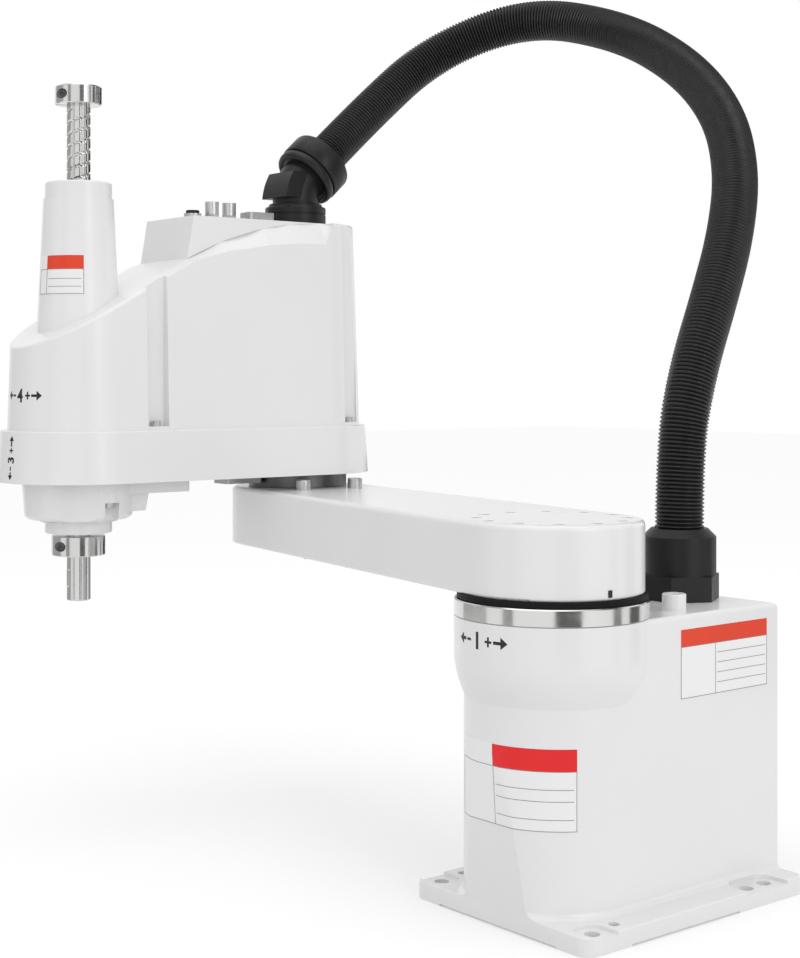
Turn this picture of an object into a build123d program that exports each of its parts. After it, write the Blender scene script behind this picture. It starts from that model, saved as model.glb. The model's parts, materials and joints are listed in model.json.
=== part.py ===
from build123d import *

import os
from math import cos, pi, radians, sin, sqrt, tan

os.makedirs("parts", exist_ok=True)

# SCARA robot in millimetres. The origin is on the underside of the base, on the first joint's axis.
# +X runs from the connector side of the base to its round front, +Z is up.

# Arm lengths and rest pose
arm_1_length = 410.0
arm_2_length = 225.0
arm_1_angle = -100.0
elbow_angle = 98.5

# Clearances
running_gap = 0.05
seal_gap = 0.3
body_gap = 0.3
slip_gap = 0.1

# Base plate
plate_front = 55.0
plate_back = 176.0
plate_width = 176.0
plate_thickness = 13.0
plate_corner = 10.0
plate_edge = 1.2
bolt_radius = 5.5
bolt_front_x = 38.0
bolt_pitch_short = 160.0
bolt_pitch_long = 180.0
bolt_pitch_y = 152.0
dowel_radius = 4.0
dowel_x = 17.0
spot_radius = 12.5
spot_depth = 2.4
relief_depth = 1.3
relief_inset = 22.0
relief_front_width = 118.0
relief_side_front = 12.0
relief_side_length = 112.0

# Base housing
base_height = 212.0
column_radius = 63.0
housing_back = 175.0
housing_wall = 8.0
housing_edge = 4.0
foot_radius = 5.0
bulge_radius = 70.0
bulge_reach = 62.0
bulge_band = 26.0
undercut_height = 120.0
column_bore = 54.0
reducer_seat_radius = 61.0
reducer_seat_depth = 20.0

# Rear service opening and its panel
service_width = 88.0
service_bottom = 32.0
service_top_margin = 32.0
panel_lap = 8.0
panel_thickness = 3.0
panel_screw_radius = 1.7
panel_screw_head = 3.4
panel_screw_height = 2.2
panel_screw_inset = 4.0

# Sockets on the rear panel, at depths below the top of the base
power_socket_drop = 140.0
power_socket_width = 52.0
power_socket_height = 34.0
power_socket_depth = 16.0
signal_socket_drop = 90.0
signal_socket_width = 56.0
signal_socket_height = 18.0
signal_socket_depth = 11.0
socket_wall = 2.5
rear_fitting_drop = 56.0
rear_fitting_pitch = 20.0
rear_fitting_radius = 6.0
rear_fitting_length = 15.0
rear_fitting_bore = 3.0

# Hose gland on the base
gland_x = -137.0
gland_hex_radius = 31.7
gland_hex_height = 19.0
gland_spigot_radius = 20.0
gland_spigot_length = 14.0
hose_nut_radius = 27.8
hose_nut_height = 35.0
hose_nut_chamfer = 6.0
hose_radius = 18.7
hose_seat_depth = 6.0

# Plug on the base
plug_x = -85.0
plug_y = 40.0
plug_radius = 8.7
plug_height = 12.0
plug_socket = 5.0
plug_socket_depth = 5.0
plug_thread = 6.0

# First joint
ring_radius = 70.0
ring_height = 12.5
ring_bore = 60.05
reducer_body_radius = 52.0
reducer_body_height = 42.0
j1_motor_size = 74.0
j1_motor_height = 96.0
motor_corner = 7.0
arm_clearance = 4.5
seal_radius = 68.0

# Arm 1
arm_1_height = 52.0
arm_1_radius_inner = 66.0
arm_1_radius_outer = 60.0
arm_1_edge = 4.0
arm_1_wall = 8.0
arm_1_roof = 9.0
arm_1_boss_inner = 64.0
arm_1_boss_outer = 50.0
rib_count = 3
rib_thickness = 6.0
cover_sheet = 2.5
cover_sheet_lap = 5.0
flange_circle = 54.0
flange_screw_count = 12
flange_screw_radius = 2.5
flange_head_radius = 4.0
flange_head_height = 5.0
flange_sink_depth = 6.0
flange_screw_reach = 13.0
small_dowel_radius = 3.0
small_dowel_depth = 16.0
small_dowel_angles = (45, -45, 135)
sheet_screw_radius = 1.5
sheet_screw_head = 3.0
sheet_screw_length = 8.0
sheet_head_height = 1.8

# Second joint
j2_bearing_radius = 42.0
j2_bearing_bore = 32.0
j2_bearing_height = 20.0
j2_well_depth = 32.0
j2_disc_radius = 45.0
j2_spigot_reach = 6.0
stop_circle = 69.0
stop_angle = 22.0
stop_head_radius = 6.5
stop_head_height = 9.0
stop_thread_radius = 4.0
stop_thread_length = 14.0
stop_block_start = 47.0
stop_block_end = 84.0
stop_block_width = 24.0
stop_block_height = 8.5
pilot_radius = 15.0

# Arm 2 frame
joint_height = 13.0
frame_height = 43.0
frame_radius_inner = 65.0
frame_radius_outer = 67.5
frame_draft = 3.5
frame_edge = 1.5
frame_floor = 8.0
tray_radius_inner = 41.0
tray_radius_outer = 40.0
motor_plate_thickness = 6.0
motor_plate_lap = 4.0
motor_plate_start = 36.0

# Arm 2 cover
cover_radius_inner = 57.0
cover_radius_outer = 59.0
cover_draft = 1.9
cover_wall = 3.0
cover_height = 183.0
nose_slope = 29.0
crest_radius = 309.0
crest_start = -5.0
cover_edge = 3.0
nose_x = 300.0
console_half_width = 40.0
console_start_x = 0.0
console_top_x = 136.0
console_foot_x = 143.0
console_depth = 40.0
shoulder_inset = 16.0
shoulder_overcut = 8.0
shoulder_reach = 1.6
shoulder_stations = (
    (30.0, 0.8),
    (0.0, 2.0),
    (-35.0, 10.7),
    (-80.0, 19.7),
    (-109.0, 23.8),
    (-140.0, 27.1),
    (-150.0, 1.0),
)
channel_width = 20.0
channel_depth = 9.0
channel_front_x = 181.0
channel_back_x = -24.0
channel_floor = 3.0
cover_screw_radius = 2.5
cover_screw_head = 4.0
cover_screw_height = 4.5
cover_screw_length = 20.0

# Shaft tube
tube_rise = 11.0
tube_drop = 124.0
tube_radius_top = 29.4
tube_draft = 2.7
tube_bore = 26.0
tube_cap_radius = 28.0
tube_cap_height = 14.0
tube_cap_bore = 21.2
tube_cap_spigot = 6.0

# Casing under arm 2
casing_height = 32.0
casing_radius = 47.0
casing_draft = 4.0
casing_tail_radius = 28.0
casing_tail_x = -22.0
casing_edge = 5.0
step_height = 26.0
step_half_width = 30.0
step_end_x = -50.6
step_slant = 3.2
wing_height = 11.0
wing_end_x = -88.0
wing_half_width = 37.0
wing_corner = 4.0
casing_screw_circle = 40.0
casing_side_angles = (100, -100)
casing_front_circle = 36.0
casing_front_angles = (22, -22)
casing_boss_radius = 7.3
scoop_angle = 62.0
scoop_radius = 60.0
scoop_distance = 100.0
casing_pocket_height = 15.0
casing_screw_head = 4.2
casing_screw_head_height = 4.0
casing_screw_radius = 2.5
seal_cap_radius = 28.0
seal_cap_height = 12.0
seal_cap_flange_radius = 32.5
seal_cap_flange_height = 2.0

# Tool shaft and its collars
shaft_radius = 10.0
shaft_reach_below = 69.0
shaft_reach_above = 82.0
shaft_chamfer = 0.8
groove_radius = 1.6
groove_count = 3
groove_start = 38.0
tool_bore_radius = 7.0
lower_collar_radius = 22.4
lower_collar_height = 17.0
lower_collar_gap = 2.0
upper_collar_radius = 19.5
upper_collar_height = 15.5
collar_angle = -115.0
collar_slit = 2.0
collar_chamfer = 0.8
collar_screw_radius = 2.0
collar_screw_head = 4.0
collar_relief_width = 1.2
collar_relief_depth = 0.5

# Drive inside arm 2
nut_radius = 16.0
bearing_radius = 23.5
bearing_width = 10.0
bearing_lip = 2.0
nut_pulley_radius = 20.0
motor_pulley_radius = 10.0
pulley_rim_height = 1.5
pulley_rim_width = 1.0
pulley_width = 12.0
belt_thickness = 1.6
belt_clearance = 0.3
screw_nut_height = 41.0
nut_bearing_radius = 26.0
nut_bearing_width = 12.0
nut_bearing_lip = 3.0
nut_housing_radius = 33.0
nut_housing_height = 18.0
rotor_radius = 4.0
rotor_reach = 12.0
z_motor_x = 130.0
z_motor_size = 60.0
z_motor_height = 100.0
r_motor_x = 70.0
r_motor_size = 40.0
r_motor_height = 72.0
j2_motor_size = 60.0
j2_motor_height = 88.0
motor_end_cap = 14.0
motor_end_inset = 3.0

# Fittings on the console
button_x = 113.0
bezel_radius = 7.8
bezel_height = 5.5
button_radius = 6.0
button_height = 3.0
button_travel = 2.0
air_fitting_x = (93.0, 75.0)
air_fitting_radius = 7.2
air_fitting_height = 17.0
air_tube_radius = 4.0
air_tube_depth = 10.0
connector_x = 56.0
connector_y = 17.0
connector_length = 26.0
connector_width = 18.0
connector_height = 8.0

# Elbow beside the second joint's axis
elbow_offset_x = 2.5
elbow_base_radius = 28.0
elbow_base_height = 17.0
elbow_rim_radius = 24.5
elbow_rim_height = 3.0
elbow_tube_radius = 21.0
elbow_bend_radius = 24.0
elbow_spigot_radius = 18.0
elbow_centre_height = 35.5
elbow_tilt = 45.0
elbow_arm_length = 11.5
elbow_nut_radius = 30.5
elbow_nut_length = 30.5
elbow_nut_chamfer = 3.0
clip_width = 40.0
clip_bottom = 25.0
clip_top = 49.0
clip_inner = 8.0
clip_outer = 23.5
clip_tip = 15.5
clip_bulge = 1.5
hose_end_run = 74.0

# Levels worked out from the sizes above
bulge_start = base_height - bulge_reach
bulge_full = base_height - bulge_band
service_height = base_height - service_bottom - service_top_margin
panel_height = service_height + 2 * panel_lap
panel_width = service_width + 2 * panel_lap
foot_level = plate_thickness - foot_radius / 2
ring_top = base_height + ring_height
arm_1_bottom = ring_top + arm_clearance
arm_1_top = arm_1_bottom + arm_1_height
frame_bottom = arm_1_top + joint_height
frame_top = frame_bottom + frame_height
tray_floor = frame_bottom + frame_floor
casing_bottom = frame_bottom - casing_height
motor_plate_top = frame_top + motor_plate_thickness
reducer_seat_z = base_height - reducer_seat_depth
hub_bottom = base_height - reducer_seat_depth / 2 + body_gap
spline_pulley_z = tray_floor + 2
screw_pulley_z = spline_pulley_z + pulley_width + 3
cover_top = frame_top + cover_height
tube_bottom = cover_top - tube_drop
tube_top = cover_top + tube_rise
shaft_bottom = casing_bottom - shaft_reach_below
shaft_top = tube_top + tube_cap_height + shaft_reach_above
crest_centre_z = cover_top - crest_radius
crest_end = (
    crest_start + crest_radius * sin(radians(nose_slope)),
    crest_centre_z + crest_radius * cos(radians(nose_slope)),
)

# Each arm has a frame of its own: its X axis runs along the arm from the joint that turns it
arm_2_angle = arm_1_angle + elbow_angle
elbow_x = arm_1_length * cos(radians(arm_1_angle))
elbow_y = arm_1_length * sin(radians(arm_1_angle))
BASE = Plane.XY
ARM_1 = Plane(
    origin=(0, 0, 0),
    x_dir=(cos(radians(arm_1_angle)), sin(radians(arm_1_angle)), 0),
    z_dir=(0, 0, 1),
)
ARM_2 = Plane(
    origin=(elbow_x, elbow_y, 0),
    x_dir=(cos(radians(arm_2_angle)), sin(radians(arm_2_angle)), 0),
    z_dir=(0, 0, 1),
)
SHAFT = Plane(
    origin=ARM_2.from_local_coords((arm_2_length, 0, 0)),
    x_dir=ARM_2.x_dir,
    z_dir=(0, 0, 1),
)
ARM_2_SIDE = Plane(origin=ARM_2.origin, x_dir=ARM_2.x_dir, z_dir=-ARM_2.y_dir)
SHAFT_SIDE = Plane(origin=SHAFT.origin, x_dir=SHAFT.x_dir, z_dir=-SHAFT.y_dir)
COLLAR = Plane(
    origin=SHAFT.origin,
    x_dir=(cos(radians(collar_angle)), sin(radians(collar_angle)), 0),
    z_dir=(0, 0, 1),
)


def save(piece, name):
    """Label one finished piece and write it under its own name."""
    piece.part.label = name
    export_step(piece.part, f"parts/{name}.step")


def capsule(radius_start, radius_end, length):
    """Outline of an arm: two circles on the sketch's X axis and their tangents."""
    Circle(radius_start)
    with Locations((length, 0)):
        Circle(radius_end)
    make_hull()


def disc(frame, bottom, top, radius, bore=0.0, x=0.0, y=0.0, mode=Mode.ADD):
    """Round disc or ring between two heights of a frame."""
    with BuildSketch(frame.offset(bottom), mode=Mode.PRIVATE) as outline:
        with Locations((x, y)):
            Circle(radius)
            if bore > 0:
                Circle(bore, mode=Mode.SUBTRACT)
    extrude(outline.sketch, amount=top - bottom, mode=mode)


def block(frame, bottom, top, length, width, x=0.0, y=0.0, corner=0.0, mode=Mode.ADD):
    """Upright block between two heights of a frame, with rounded corners if asked."""
    with BuildSketch(frame.offset(bottom), mode=Mode.PRIVATE) as outline:
        with Locations((x, y)):
            if corner > 0:
                RectangleRounded(length, width, corner)
            else:
                Rectangle(length, width)
    extrude(outline.sketch, amount=top - bottom, mode=mode)


def top_edges(piece):
    """Edges of the highest face."""
    return piece.faces().sort_by(Axis.Z)[-1].outer_wire().edges()


def bottom_edges(piece):
    """Edges of the lowest face."""
    return piece.faces().sort_by(Axis.Z)[0].outer_wire().edges()


# Base


def bolt_places():
    """The six bolt holes of the plate: two at the front, two rows at the back."""
    rows = (0, -bolt_pitch_short, -bolt_pitch_long)
    return [(bolt_front_x + row, side * bolt_pitch_y / 2) for row in rows for side in (1, -1)]


def cut_spot_faces():
    """Flat pockets round the bolt holes, open to the plate's long edges."""
    outside = plate_width / 2 + spot_radius
    with BuildSketch(BASE.offset(plate_thickness - spot_depth), mode=Mode.PRIVATE) as pockets:
        for side in (1, -1):
            for first, last in ((0, 0), (-bolt_pitch_short, -bolt_pitch_long)):
                with BuildSketch(mode=Mode.PRIVATE) as pocket:
                    for x in (bolt_front_x + first, bolt_front_x + last):
                        with Locations((x, side * bolt_pitch_y / 2), (x, side * outside)):
                            Circle(spot_radius)
                    make_hull()
                add(pocket.sketch)
    extrude(pockets.sketch, amount=spot_depth + 1, mode=Mode.SUBTRACT)


def cut_foot_relief():
    """Shallow relief under the middle of the front and side edges."""
    with BuildSketch(BASE, mode=Mode.PRIVATE) as reliefs:
        with Locations((plate_front, 0)):
            Rectangle(2 * relief_inset, relief_front_width)
        for side in (1, -1):
            with Locations((relief_side_front - relief_side_length / 2, side * plate_width / 2)):
                Rectangle(relief_side_length, 2 * relief_inset)
    extrude(reliefs.sketch, amount=relief_depth, mode=Mode.SUBTRACT)


def foot_profile(frame):
    """Section of the hollow fillet at the foot of the housing: distance from its middle, height."""
    bend = foot_radius * (1 - sqrt(0.5))
    with BuildSketch(frame, mode=Mode.PRIVATE) as section:
        with BuildLine():
            hollow = ThreePointArc(
                (column_radius + foot_radius, plate_thickness - 0.1),
                (column_radius + bend, plate_thickness + bend),
                (column_radius - 0.1, plate_thickness + foot_radius),
            )
            Polyline(
                hollow @ 1,
                (column_radius - foot_radius, plate_thickness + foot_radius),
                (column_radius - foot_radius, foot_level),
                (column_radius + foot_radius, foot_level),
                hollow @ 0,
            )
        make_face()
    return section.sketch


def make_base_casting():
    with BuildPart() as base_casting:
        # bolt-down plate
        with BuildSketch(BASE):
            with Locations(((plate_front - plate_back) / 2, 0)):
                RectangleRounded(plate_front + plate_back, plate_width, plate_corner)
        extrude(amount=plate_thickness)
        fillet(top_edges(base_casting), plate_edge)
        # round column in front, square housing behind it
        with BuildSketch(BASE.offset(foot_level)):
            Circle(column_radius)
            with Locations((-housing_back / 2, 0)):
                Rectangle(housing_back, 2 * column_radius)
        extrude(amount=base_height - foot_level)
        # hollow fillet between the walls and the plate
        revolve(foot_profile(Plane.XZ), axis=Axis.Z)
        for side in (1, -1):
            across = Plane(origin=(0, 0, 0), x_dir=(0, side, 0), z_dir=(side, 0, 0))
            extrude(foot_profile(across), amount=-side * housing_back)
        # the head of the column swells to the bearing ring
        with BuildSketch(Plane.XZ):
            with BuildLine():
                swell = Spline(
                    (column_radius - 2, bulge_start),
                    (bulge_radius, bulge_full),
                    tangents=[(0.35, 1), (0, 1)],
                )
                Polyline(swell @ 1, (bulge_radius, base_height), (0, base_height))
                Polyline((0, base_height), (0, bulge_start), swell @ 0)
            make_face()
        revolve(axis=Axis.Z)
        rim = base_casting.edges().filter_by_position(Axis.Z, base_height, base_height)
        fillet(rim.filter_by_position(Axis.X, -housing_back, -bulge_radius / 2), housing_edge)
        # the column is cut back to the plate's front edge at its foot
        with BuildSketch(Plane.XZ):
            with BuildLine():
                Polyline(
                    (plate_front, -1),
                    (plate_front, plate_thickness),
                    (column_radius + 0.5, plate_thickness + undercut_height),
                    (bulge_radius + 10, plate_thickness + undercut_height),
                    (bulge_radius + 10, -1),
                    close=True,
                )
            make_face()
        extrude(amount=plate_width, both=True, mode=Mode.SUBTRACT)
        # hollow inside, with the reducer's seat at the top of the column
        inner = column_radius - housing_wall
        cavity_back = -housing_back + housing_wall + panel_thickness
        block(
            BASE,
            plate_thickness,
            base_height - housing_wall,
            -cavity_back,
            2 * inner,
            x=cavity_back / 2,
            mode=Mode.SUBTRACT,
        )
        disc(BASE, plate_thickness, base_height, column_bore, mode=Mode.SUBTRACT)
        disc(BASE, reducer_seat_z, base_height, reducer_seat_radius, mode=Mode.SUBTRACT)
        disc(
            BASE,
            base_height - housing_wall,
            base_height,
            gland_spigot_radius + slip_gap,
            x=gland_x,
            mode=Mode.SUBTRACT,
        )
        disc(
            BASE,
            base_height - housing_wall,
            base_height,
            plug_thread + slip_gap,
            x=plug_x,
            y=plug_y,
            mode=Mode.SUBTRACT,
        )
        # service opening at the back, with a recess that takes the panel
        back = Plane(origin=(-housing_back, 0, 0), x_dir=(0, -1, 0), z_dir=(-1, 0, 0))
        service_centre = service_bottom + service_height / 2
        with BuildSketch(back):
            with Locations((0, service_centre)):
                Rectangle(service_width, service_height)
        extrude(amount=-2 * housing_wall, mode=Mode.SUBTRACT)
        with BuildSketch(back):
            with Locations((0, service_centre)):
                Rectangle(panel_width + 2 * slip_gap, panel_height + 2 * slip_gap)
        extrude(amount=-panel_thickness, mode=Mode.SUBTRACT)
        cut_spot_faces()
        cut_foot_relief()
        with Locations(*[(x, y, plate_thickness) for x, y in bolt_places()]):
            Hole(bolt_radius, depth=plate_thickness)
        with Locations(*[(dowel_x, side * bolt_pitch_y / 2, plate_thickness) for side in (1, -1)]):
            Hole(dowel_radius, depth=plate_thickness)
    save(base_casting, "base_casting")


def panel_screw_places():
    """Screws round the edge of the rear panel, on the lap outside the opening."""
    columns = panel_width / 2 - panel_screw_inset
    rows = panel_height / 2 - panel_screw_inset
    centre = service_bottom + service_height / 2
    return [(side * columns, centre + row) for side in (1, -1) for row in (-rows, 0, rows)]


def make_rear_panel():
    outside = Plane(origin=(-housing_back, 0, 0), x_dir=(0, -1, 0), z_dir=(-1, 0, 0))
    with BuildPart() as rear_panel:
        with BuildSketch(outside):
            with Locations((0, service_bottom + service_height / 2)):
                Rectangle(panel_width, panel_height)
            with Locations(*panel_screw_places()):
                Circle(panel_screw_radius + slip_gap, mode=Mode.SUBTRACT)
        extrude(amount=-panel_thickness)
    save(rear_panel, "rear_panel")
    with BuildPart() as rear_panel_screws:
        with BuildSketch(outside):
            with Locations(*panel_screw_places()):
                Circle(panel_screw_head)
        extrude(amount=panel_screw_height)
        with BuildSketch(outside):
            with Locations(*panel_screw_places()):
                Circle(panel_screw_radius)
        extrude(amount=-panel_thickness)
    save(rear_panel_screws, "rear_panel_screws")



def make_socket(name, height, width, tall, deep):
    """Open rectangular connector shell."""
    outside = Plane(origin=(-housing_back, 0, 0), x_dir=(0, -1, 0), z_dir=(-1, 0, 0))
    with BuildPart() as socket:
        with BuildSketch(outside):
            with Locations((0, height)):
                RectangleRounded(width, tall, socket_wall)
        extrude(amount=deep)
        with BuildSketch(outside.offset(socket_wall)):
            with Locations((0, height)):
                Rectangle(width - 2 * socket_wall, tall - 2 * socket_wall)
        extrude(amount=deep, mode=Mode.SUBTRACT)
    save(socket, name)


def make_rear_air_fittings():
    outside = Plane(origin=(-housing_back, 0, 0), x_dir=(0, -1, 0), z_dir=(-1, 0, 0))
    places = [(step * rear_fitting_pitch, base_height - rear_fitting_drop) for step in (-1, 0, 1)]
    with BuildPart() as rear_air_fittings:
        with BuildSketch(outside):
            with Locations(*places):
                Circle(rear_fitting_radius)
        extrude(amount=rear_fitting_length)
        with BuildSketch(outside.offset(rear_fitting_length / 3)):
            with Locations(*places):
                Circle(rear_fitting_bore)
        extrude(amount=rear_fitting_length, mode=Mode.SUBTRACT)
    save(rear_air_fittings, "rear_air_fittings")


def make_hose_gland():
    with BuildPart() as hose_gland_base:
        with BuildSketch(BASE.offset(base_height)):
            with Locations((gland_x, 0)):
                RegularPolygon(gland_hex_radius, 6, rotation=30)
        extrude(amount=gland_hex_height)
        disc(
            BASE,
            base_height - gland_spigot_length,
            base_height,
            gland_spigot_radius,
            x=gland_x,
        )
    save(hose_gland_base, "hose_gland_base")
    nut_bottom = base_height + gland_hex_height
    nut_top = nut_bottom + hose_nut_height
    with BuildPart() as hose_nut_base:
        disc(BASE, nut_bottom, nut_top, hose_nut_radius, x=gland_x)
        disc(
            BASE,
            nut_top - hose_seat_depth,
            nut_top,
            hose_radius + slip_gap,
            x=gland_x,
            mode=Mode.SUBTRACT,
        )
        rim = hose_nut_base.edges().filter_by(GeomType.CIRCLE).filter_by_position(Axis.Z, nut_top, nut_top)
        chamfer(rim.sort_by(SortBy.RADIUS)[-1], hose_nut_chamfer)
    save(hose_nut_base, "hose_nut_base")


def make_base_top_plug():
    with BuildPart() as base_top_plug:
        disc(BASE, base_height, base_height + plug_height, plug_radius, x=plug_x, y=plug_y)
        fillet(top_edges(base_top_plug), 0.8)
        disc(BASE, base_height - housing_wall, base_height, plug_thread, x=plug_x, y=plug_y)
        socket_bottom = base_height + plug_height - plug_socket_depth
        with BuildSketch(BASE.offset(socket_bottom)):
            with Locations((plug_x, plug_y)):
                RegularPolygon(plug_socket, 6)
        extrude(amount=plug_socket_depth, mode=Mode.SUBTRACT)
    save(base_top_plug, "base_top_plug")


# First joint


def make_first_joint():
    with BuildPart() as j1_bearing_ring:
        disc(BASE, base_height, ring_top, ring_radius, ring_bore)
        outer = j1_bearing_ring.edges().filter_by(GeomType.CIRCLE).sort_by(SortBy.RADIUS)[-2:]
        chamfer(outer, 0.8)
    save(j1_bearing_ring, "j1_bearing_ring")
    with BuildPart() as j1_reducer:
        disc(BASE, reducer_seat_z, hub_bottom - body_gap, reducer_seat_radius - slip_gap)
        disc(BASE, reducer_seat_z - reducer_body_height, reducer_seat_z, reducer_body_radius)
    save(j1_reducer, "j1_reducer")
    motor_top = reducer_seat_z - reducer_body_height
    make_motor("j1_motor", BASE, 0, motor_top - j1_motor_height, j1_motor_size, j1_motor_height, False)
    with BuildPart() as j1_hub:
        disc(BASE, hub_bottom, arm_1_bottom, ring_bore - running_gap)
        with BuildSketch(ARM_1.offset(arm_1_bottom)):
            with PolarLocations(flange_circle, flange_screw_count):
                Circle(flange_screw_radius)
        extrude(amount=-flange_screw_reach, mode=Mode.SUBTRACT)
    save(j1_hub, "j1_hub")
    with BuildPart() as j1_seal:
        disc(BASE, ring_top + body_gap, arm_1_bottom, seal_radius, ring_bore - running_gap)
    save(j1_seal, "j1_seal")


def make_motor(name, frame, x, bottom, size, height, shaft_down):
    """Square servo motor standing on a frame level, with a smaller end cap."""
    with BuildPart() as motor:
        body_top = bottom + height - motor_end_cap
        block(frame, bottom, body_top, size, size, x=x, corner=motor_corner)
        inner = size - 2 * motor_end_inset
        block(frame, body_top, bottom + height, inner, inner, x=x, corner=motor_corner)
        if shaft_down:
            # the rotor's bore takes the pulley's shaft
            bore = rotor_radius + running_gap
            disc(frame, bottom, bottom + motor_end_cap, bore, x=x, mode=Mode.SUBTRACT)
    save(motor, name)


# Arm 1


def arm_1_pockets():
    """Hollow cells under arm 1, between the two bosses and the cross ribs."""
    inner = arm_1_radius_inner - arm_1_wall
    outer = arm_1_radius_outer - arm_1_wall
    capsule(inner, outer, arm_1_length)
    Circle(arm_1_boss_inner, mode=Mode.SUBTRACT)
    with Locations((arm_1_length, 0)):
        Circle(arm_1_boss_outer, mode=Mode.SUBTRACT)
    start = arm_1_boss_inner
    span = arm_1_length - arm_1_boss_inner - arm_1_boss_outer
    for index in range(rib_count):
        with Locations((start + span * (index + 1) / (rib_count + 1), 0)):
            Rectangle(rib_thickness, 2 * arm_1_radius_inner, mode=Mode.SUBTRACT)
    # what is left beyond the bosses is too thin to be a cell
    with Locations((-arm_1_radius_inner / 2, 0), (arm_1_length + arm_1_radius_outer / 2, 0)):
        Rectangle(arm_1_radius_inner, 2 * arm_1_radius_inner, mode=Mode.SUBTRACT)


def arm_1_sheet(gap):
    """Outline of the cover sheet under arm 1."""
    start = arm_1_boss_inner - cover_sheet_lap
    end = arm_1_length - arm_1_boss_outer + cover_sheet_lap
    half = arm_1_radius_outer - arm_1_wall + cover_sheet_lap - 2
    with Locations(((start + end) / 2, 0)):
        RectangleRounded(end - start - 2 * gap, 2 * half - 2 * gap, cover_sheet_lap)


def sheet_screw_places():
    """Screws of the cover sheet, in the ribs' ends and on the bosses."""
    start = arm_1_boss_inner
    span = arm_1_length - arm_1_boss_inner - arm_1_boss_outer
    half = arm_1_radius_outer - arm_1_wall
    ribs = [start + span * (index + 1) / (rib_count + 1) for index in range(rib_count)]
    return [(x, side * half) for x in ribs for side in (1, -1)]


def make_arm_1():
    with BuildPart() as arm_1_casting:
        with BuildSketch(ARM_1.offset(arm_1_bottom)):
            capsule(arm_1_radius_inner, arm_1_radius_outer, arm_1_length)
        extrude(amount=arm_1_height)
        fillet(top_edges(arm_1_casting), arm_1_edge)
        fillet(bottom_edges(arm_1_casting), arm_1_edge / 2)
        with BuildSketch(ARM_1.offset(arm_1_bottom)):
            arm_1_pockets()
        extrude(amount=arm_1_height - arm_1_roof, mode=Mode.SUBTRACT)
        with BuildSketch(ARM_1.offset(arm_1_bottom)):
            arm_1_sheet(0)
        extrude(amount=cover_sheet, mode=Mode.SUBTRACT)
        # seat of the second joint's bearing, with a well below it
        disc(
            ARM_1,
            arm_1_top - j2_bearing_height,
            arm_1_top,
            j2_bearing_radius,
            x=arm_1_length,
            mode=Mode.SUBTRACT,
        )
        disc(
            ARM_1,
            arm_1_top - j2_well_depth,
            arm_1_top,
            j2_bearing_bore + 2,
            x=arm_1_length,
            mode=Mode.SUBTRACT,
        )
        # screws and dowels over the first joint
        with Locations(ARM_1.offset(arm_1_top)):
            with PolarLocations(flange_circle, flange_screw_count):
                CounterBoreHole(
                    flange_screw_radius,
                    flange_head_radius + 0.2,
                    flange_sink_depth,
                    depth=arm_1_height,
                )
            with Locations(*[polar(flange_circle, angle) for angle in small_dowel_angles]):
                Hole(small_dowel_radius, depth=small_dowel_depth)
            with Locations(*stop_places()):
                Hole(stop_thread_radius, depth=stop_thread_length)
        with BuildSketch(ARM_1.offset(arm_1_bottom + cover_sheet)):
            with Locations(*sheet_screw_places()):
                Circle(sheet_screw_radius)
        extrude(amount=sheet_screw_length, mode=Mode.SUBTRACT)
    save(arm_1_casting, "arm_1_casting")


def polar(radius, angle):
    """Point on a circle round the sketch's origin."""
    return (radius * cos(radians(angle)), radius * sin(radians(angle)))


def stop_places():
    """Two stop bolts beside the second joint, on the side that faces the first."""
    places = []
    for side in (1, -1):
        x, y = polar(stop_circle, 180 - side * stop_angle)
        places.append((arm_1_length + x, y))
    return places


def make_arm_1_details():
    head_bottom = arm_1_top - flange_sink_depth
    with BuildPart() as arm_1_screws:
        with BuildSketch(ARM_1.offset(head_bottom)):
            with PolarLocations(flange_circle, flange_screw_count):
                Circle(flange_head_radius)
        extrude(amount=flange_head_height)
        with BuildSketch(ARM_1.offset(head_bottom)):
            with PolarLocations(flange_circle, flange_screw_count):
                Circle(flange_screw_radius)
        extrude(amount=-(head_bottom - arm_1_bottom + flange_screw_reach))
        with BuildSketch(ARM_1.offset(head_bottom + flange_head_height)):
            with PolarLocations(flange_circle, flange_screw_count):
                RegularPolygon(flange_head_radius / 2, 6)
        extrude(amount=-flange_head_height / 2, mode=Mode.SUBTRACT)
    save(arm_1_screws, "arm_1_screws")
    with BuildPart() as arm_1_dowels:
        with BuildSketch(ARM_1.offset(arm_1_top - small_dowel_depth)):
            with Locations(*[polar(flange_circle, angle) for angle in small_dowel_angles]):
                Circle(small_dowel_radius)
        extrude(amount=small_dowel_depth)
    save(arm_1_dowels, "arm_1_dowels")
    with BuildPart() as arm_1_cover:
        with BuildSketch(ARM_1.offset(arm_1_bottom)):
            arm_1_sheet(slip_gap)
            with Locations(*sheet_screw_places()):
                Circle(sheet_screw_radius, mode=Mode.SUBTRACT)
        extrude(amount=cover_sheet)
    save(arm_1_cover, "arm_1_cover")
    with BuildPart() as arm_1_cover_screws:
        with BuildSketch(ARM_1.offset(arm_1_bottom - sheet_head_height)):
            with Locations(*sheet_screw_places()):
                Circle(sheet_screw_head)
        extrude(amount=sheet_head_height)
        with BuildSketch(ARM_1.offset(arm_1_bottom)):
            with Locations(*sheet_screw_places()):
                Circle(sheet_screw_radius)
        extrude(amount=cover_sheet + sheet_screw_length)
    save(arm_1_cover_screws, "arm_1_cover_screws")


# Second joint


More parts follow.
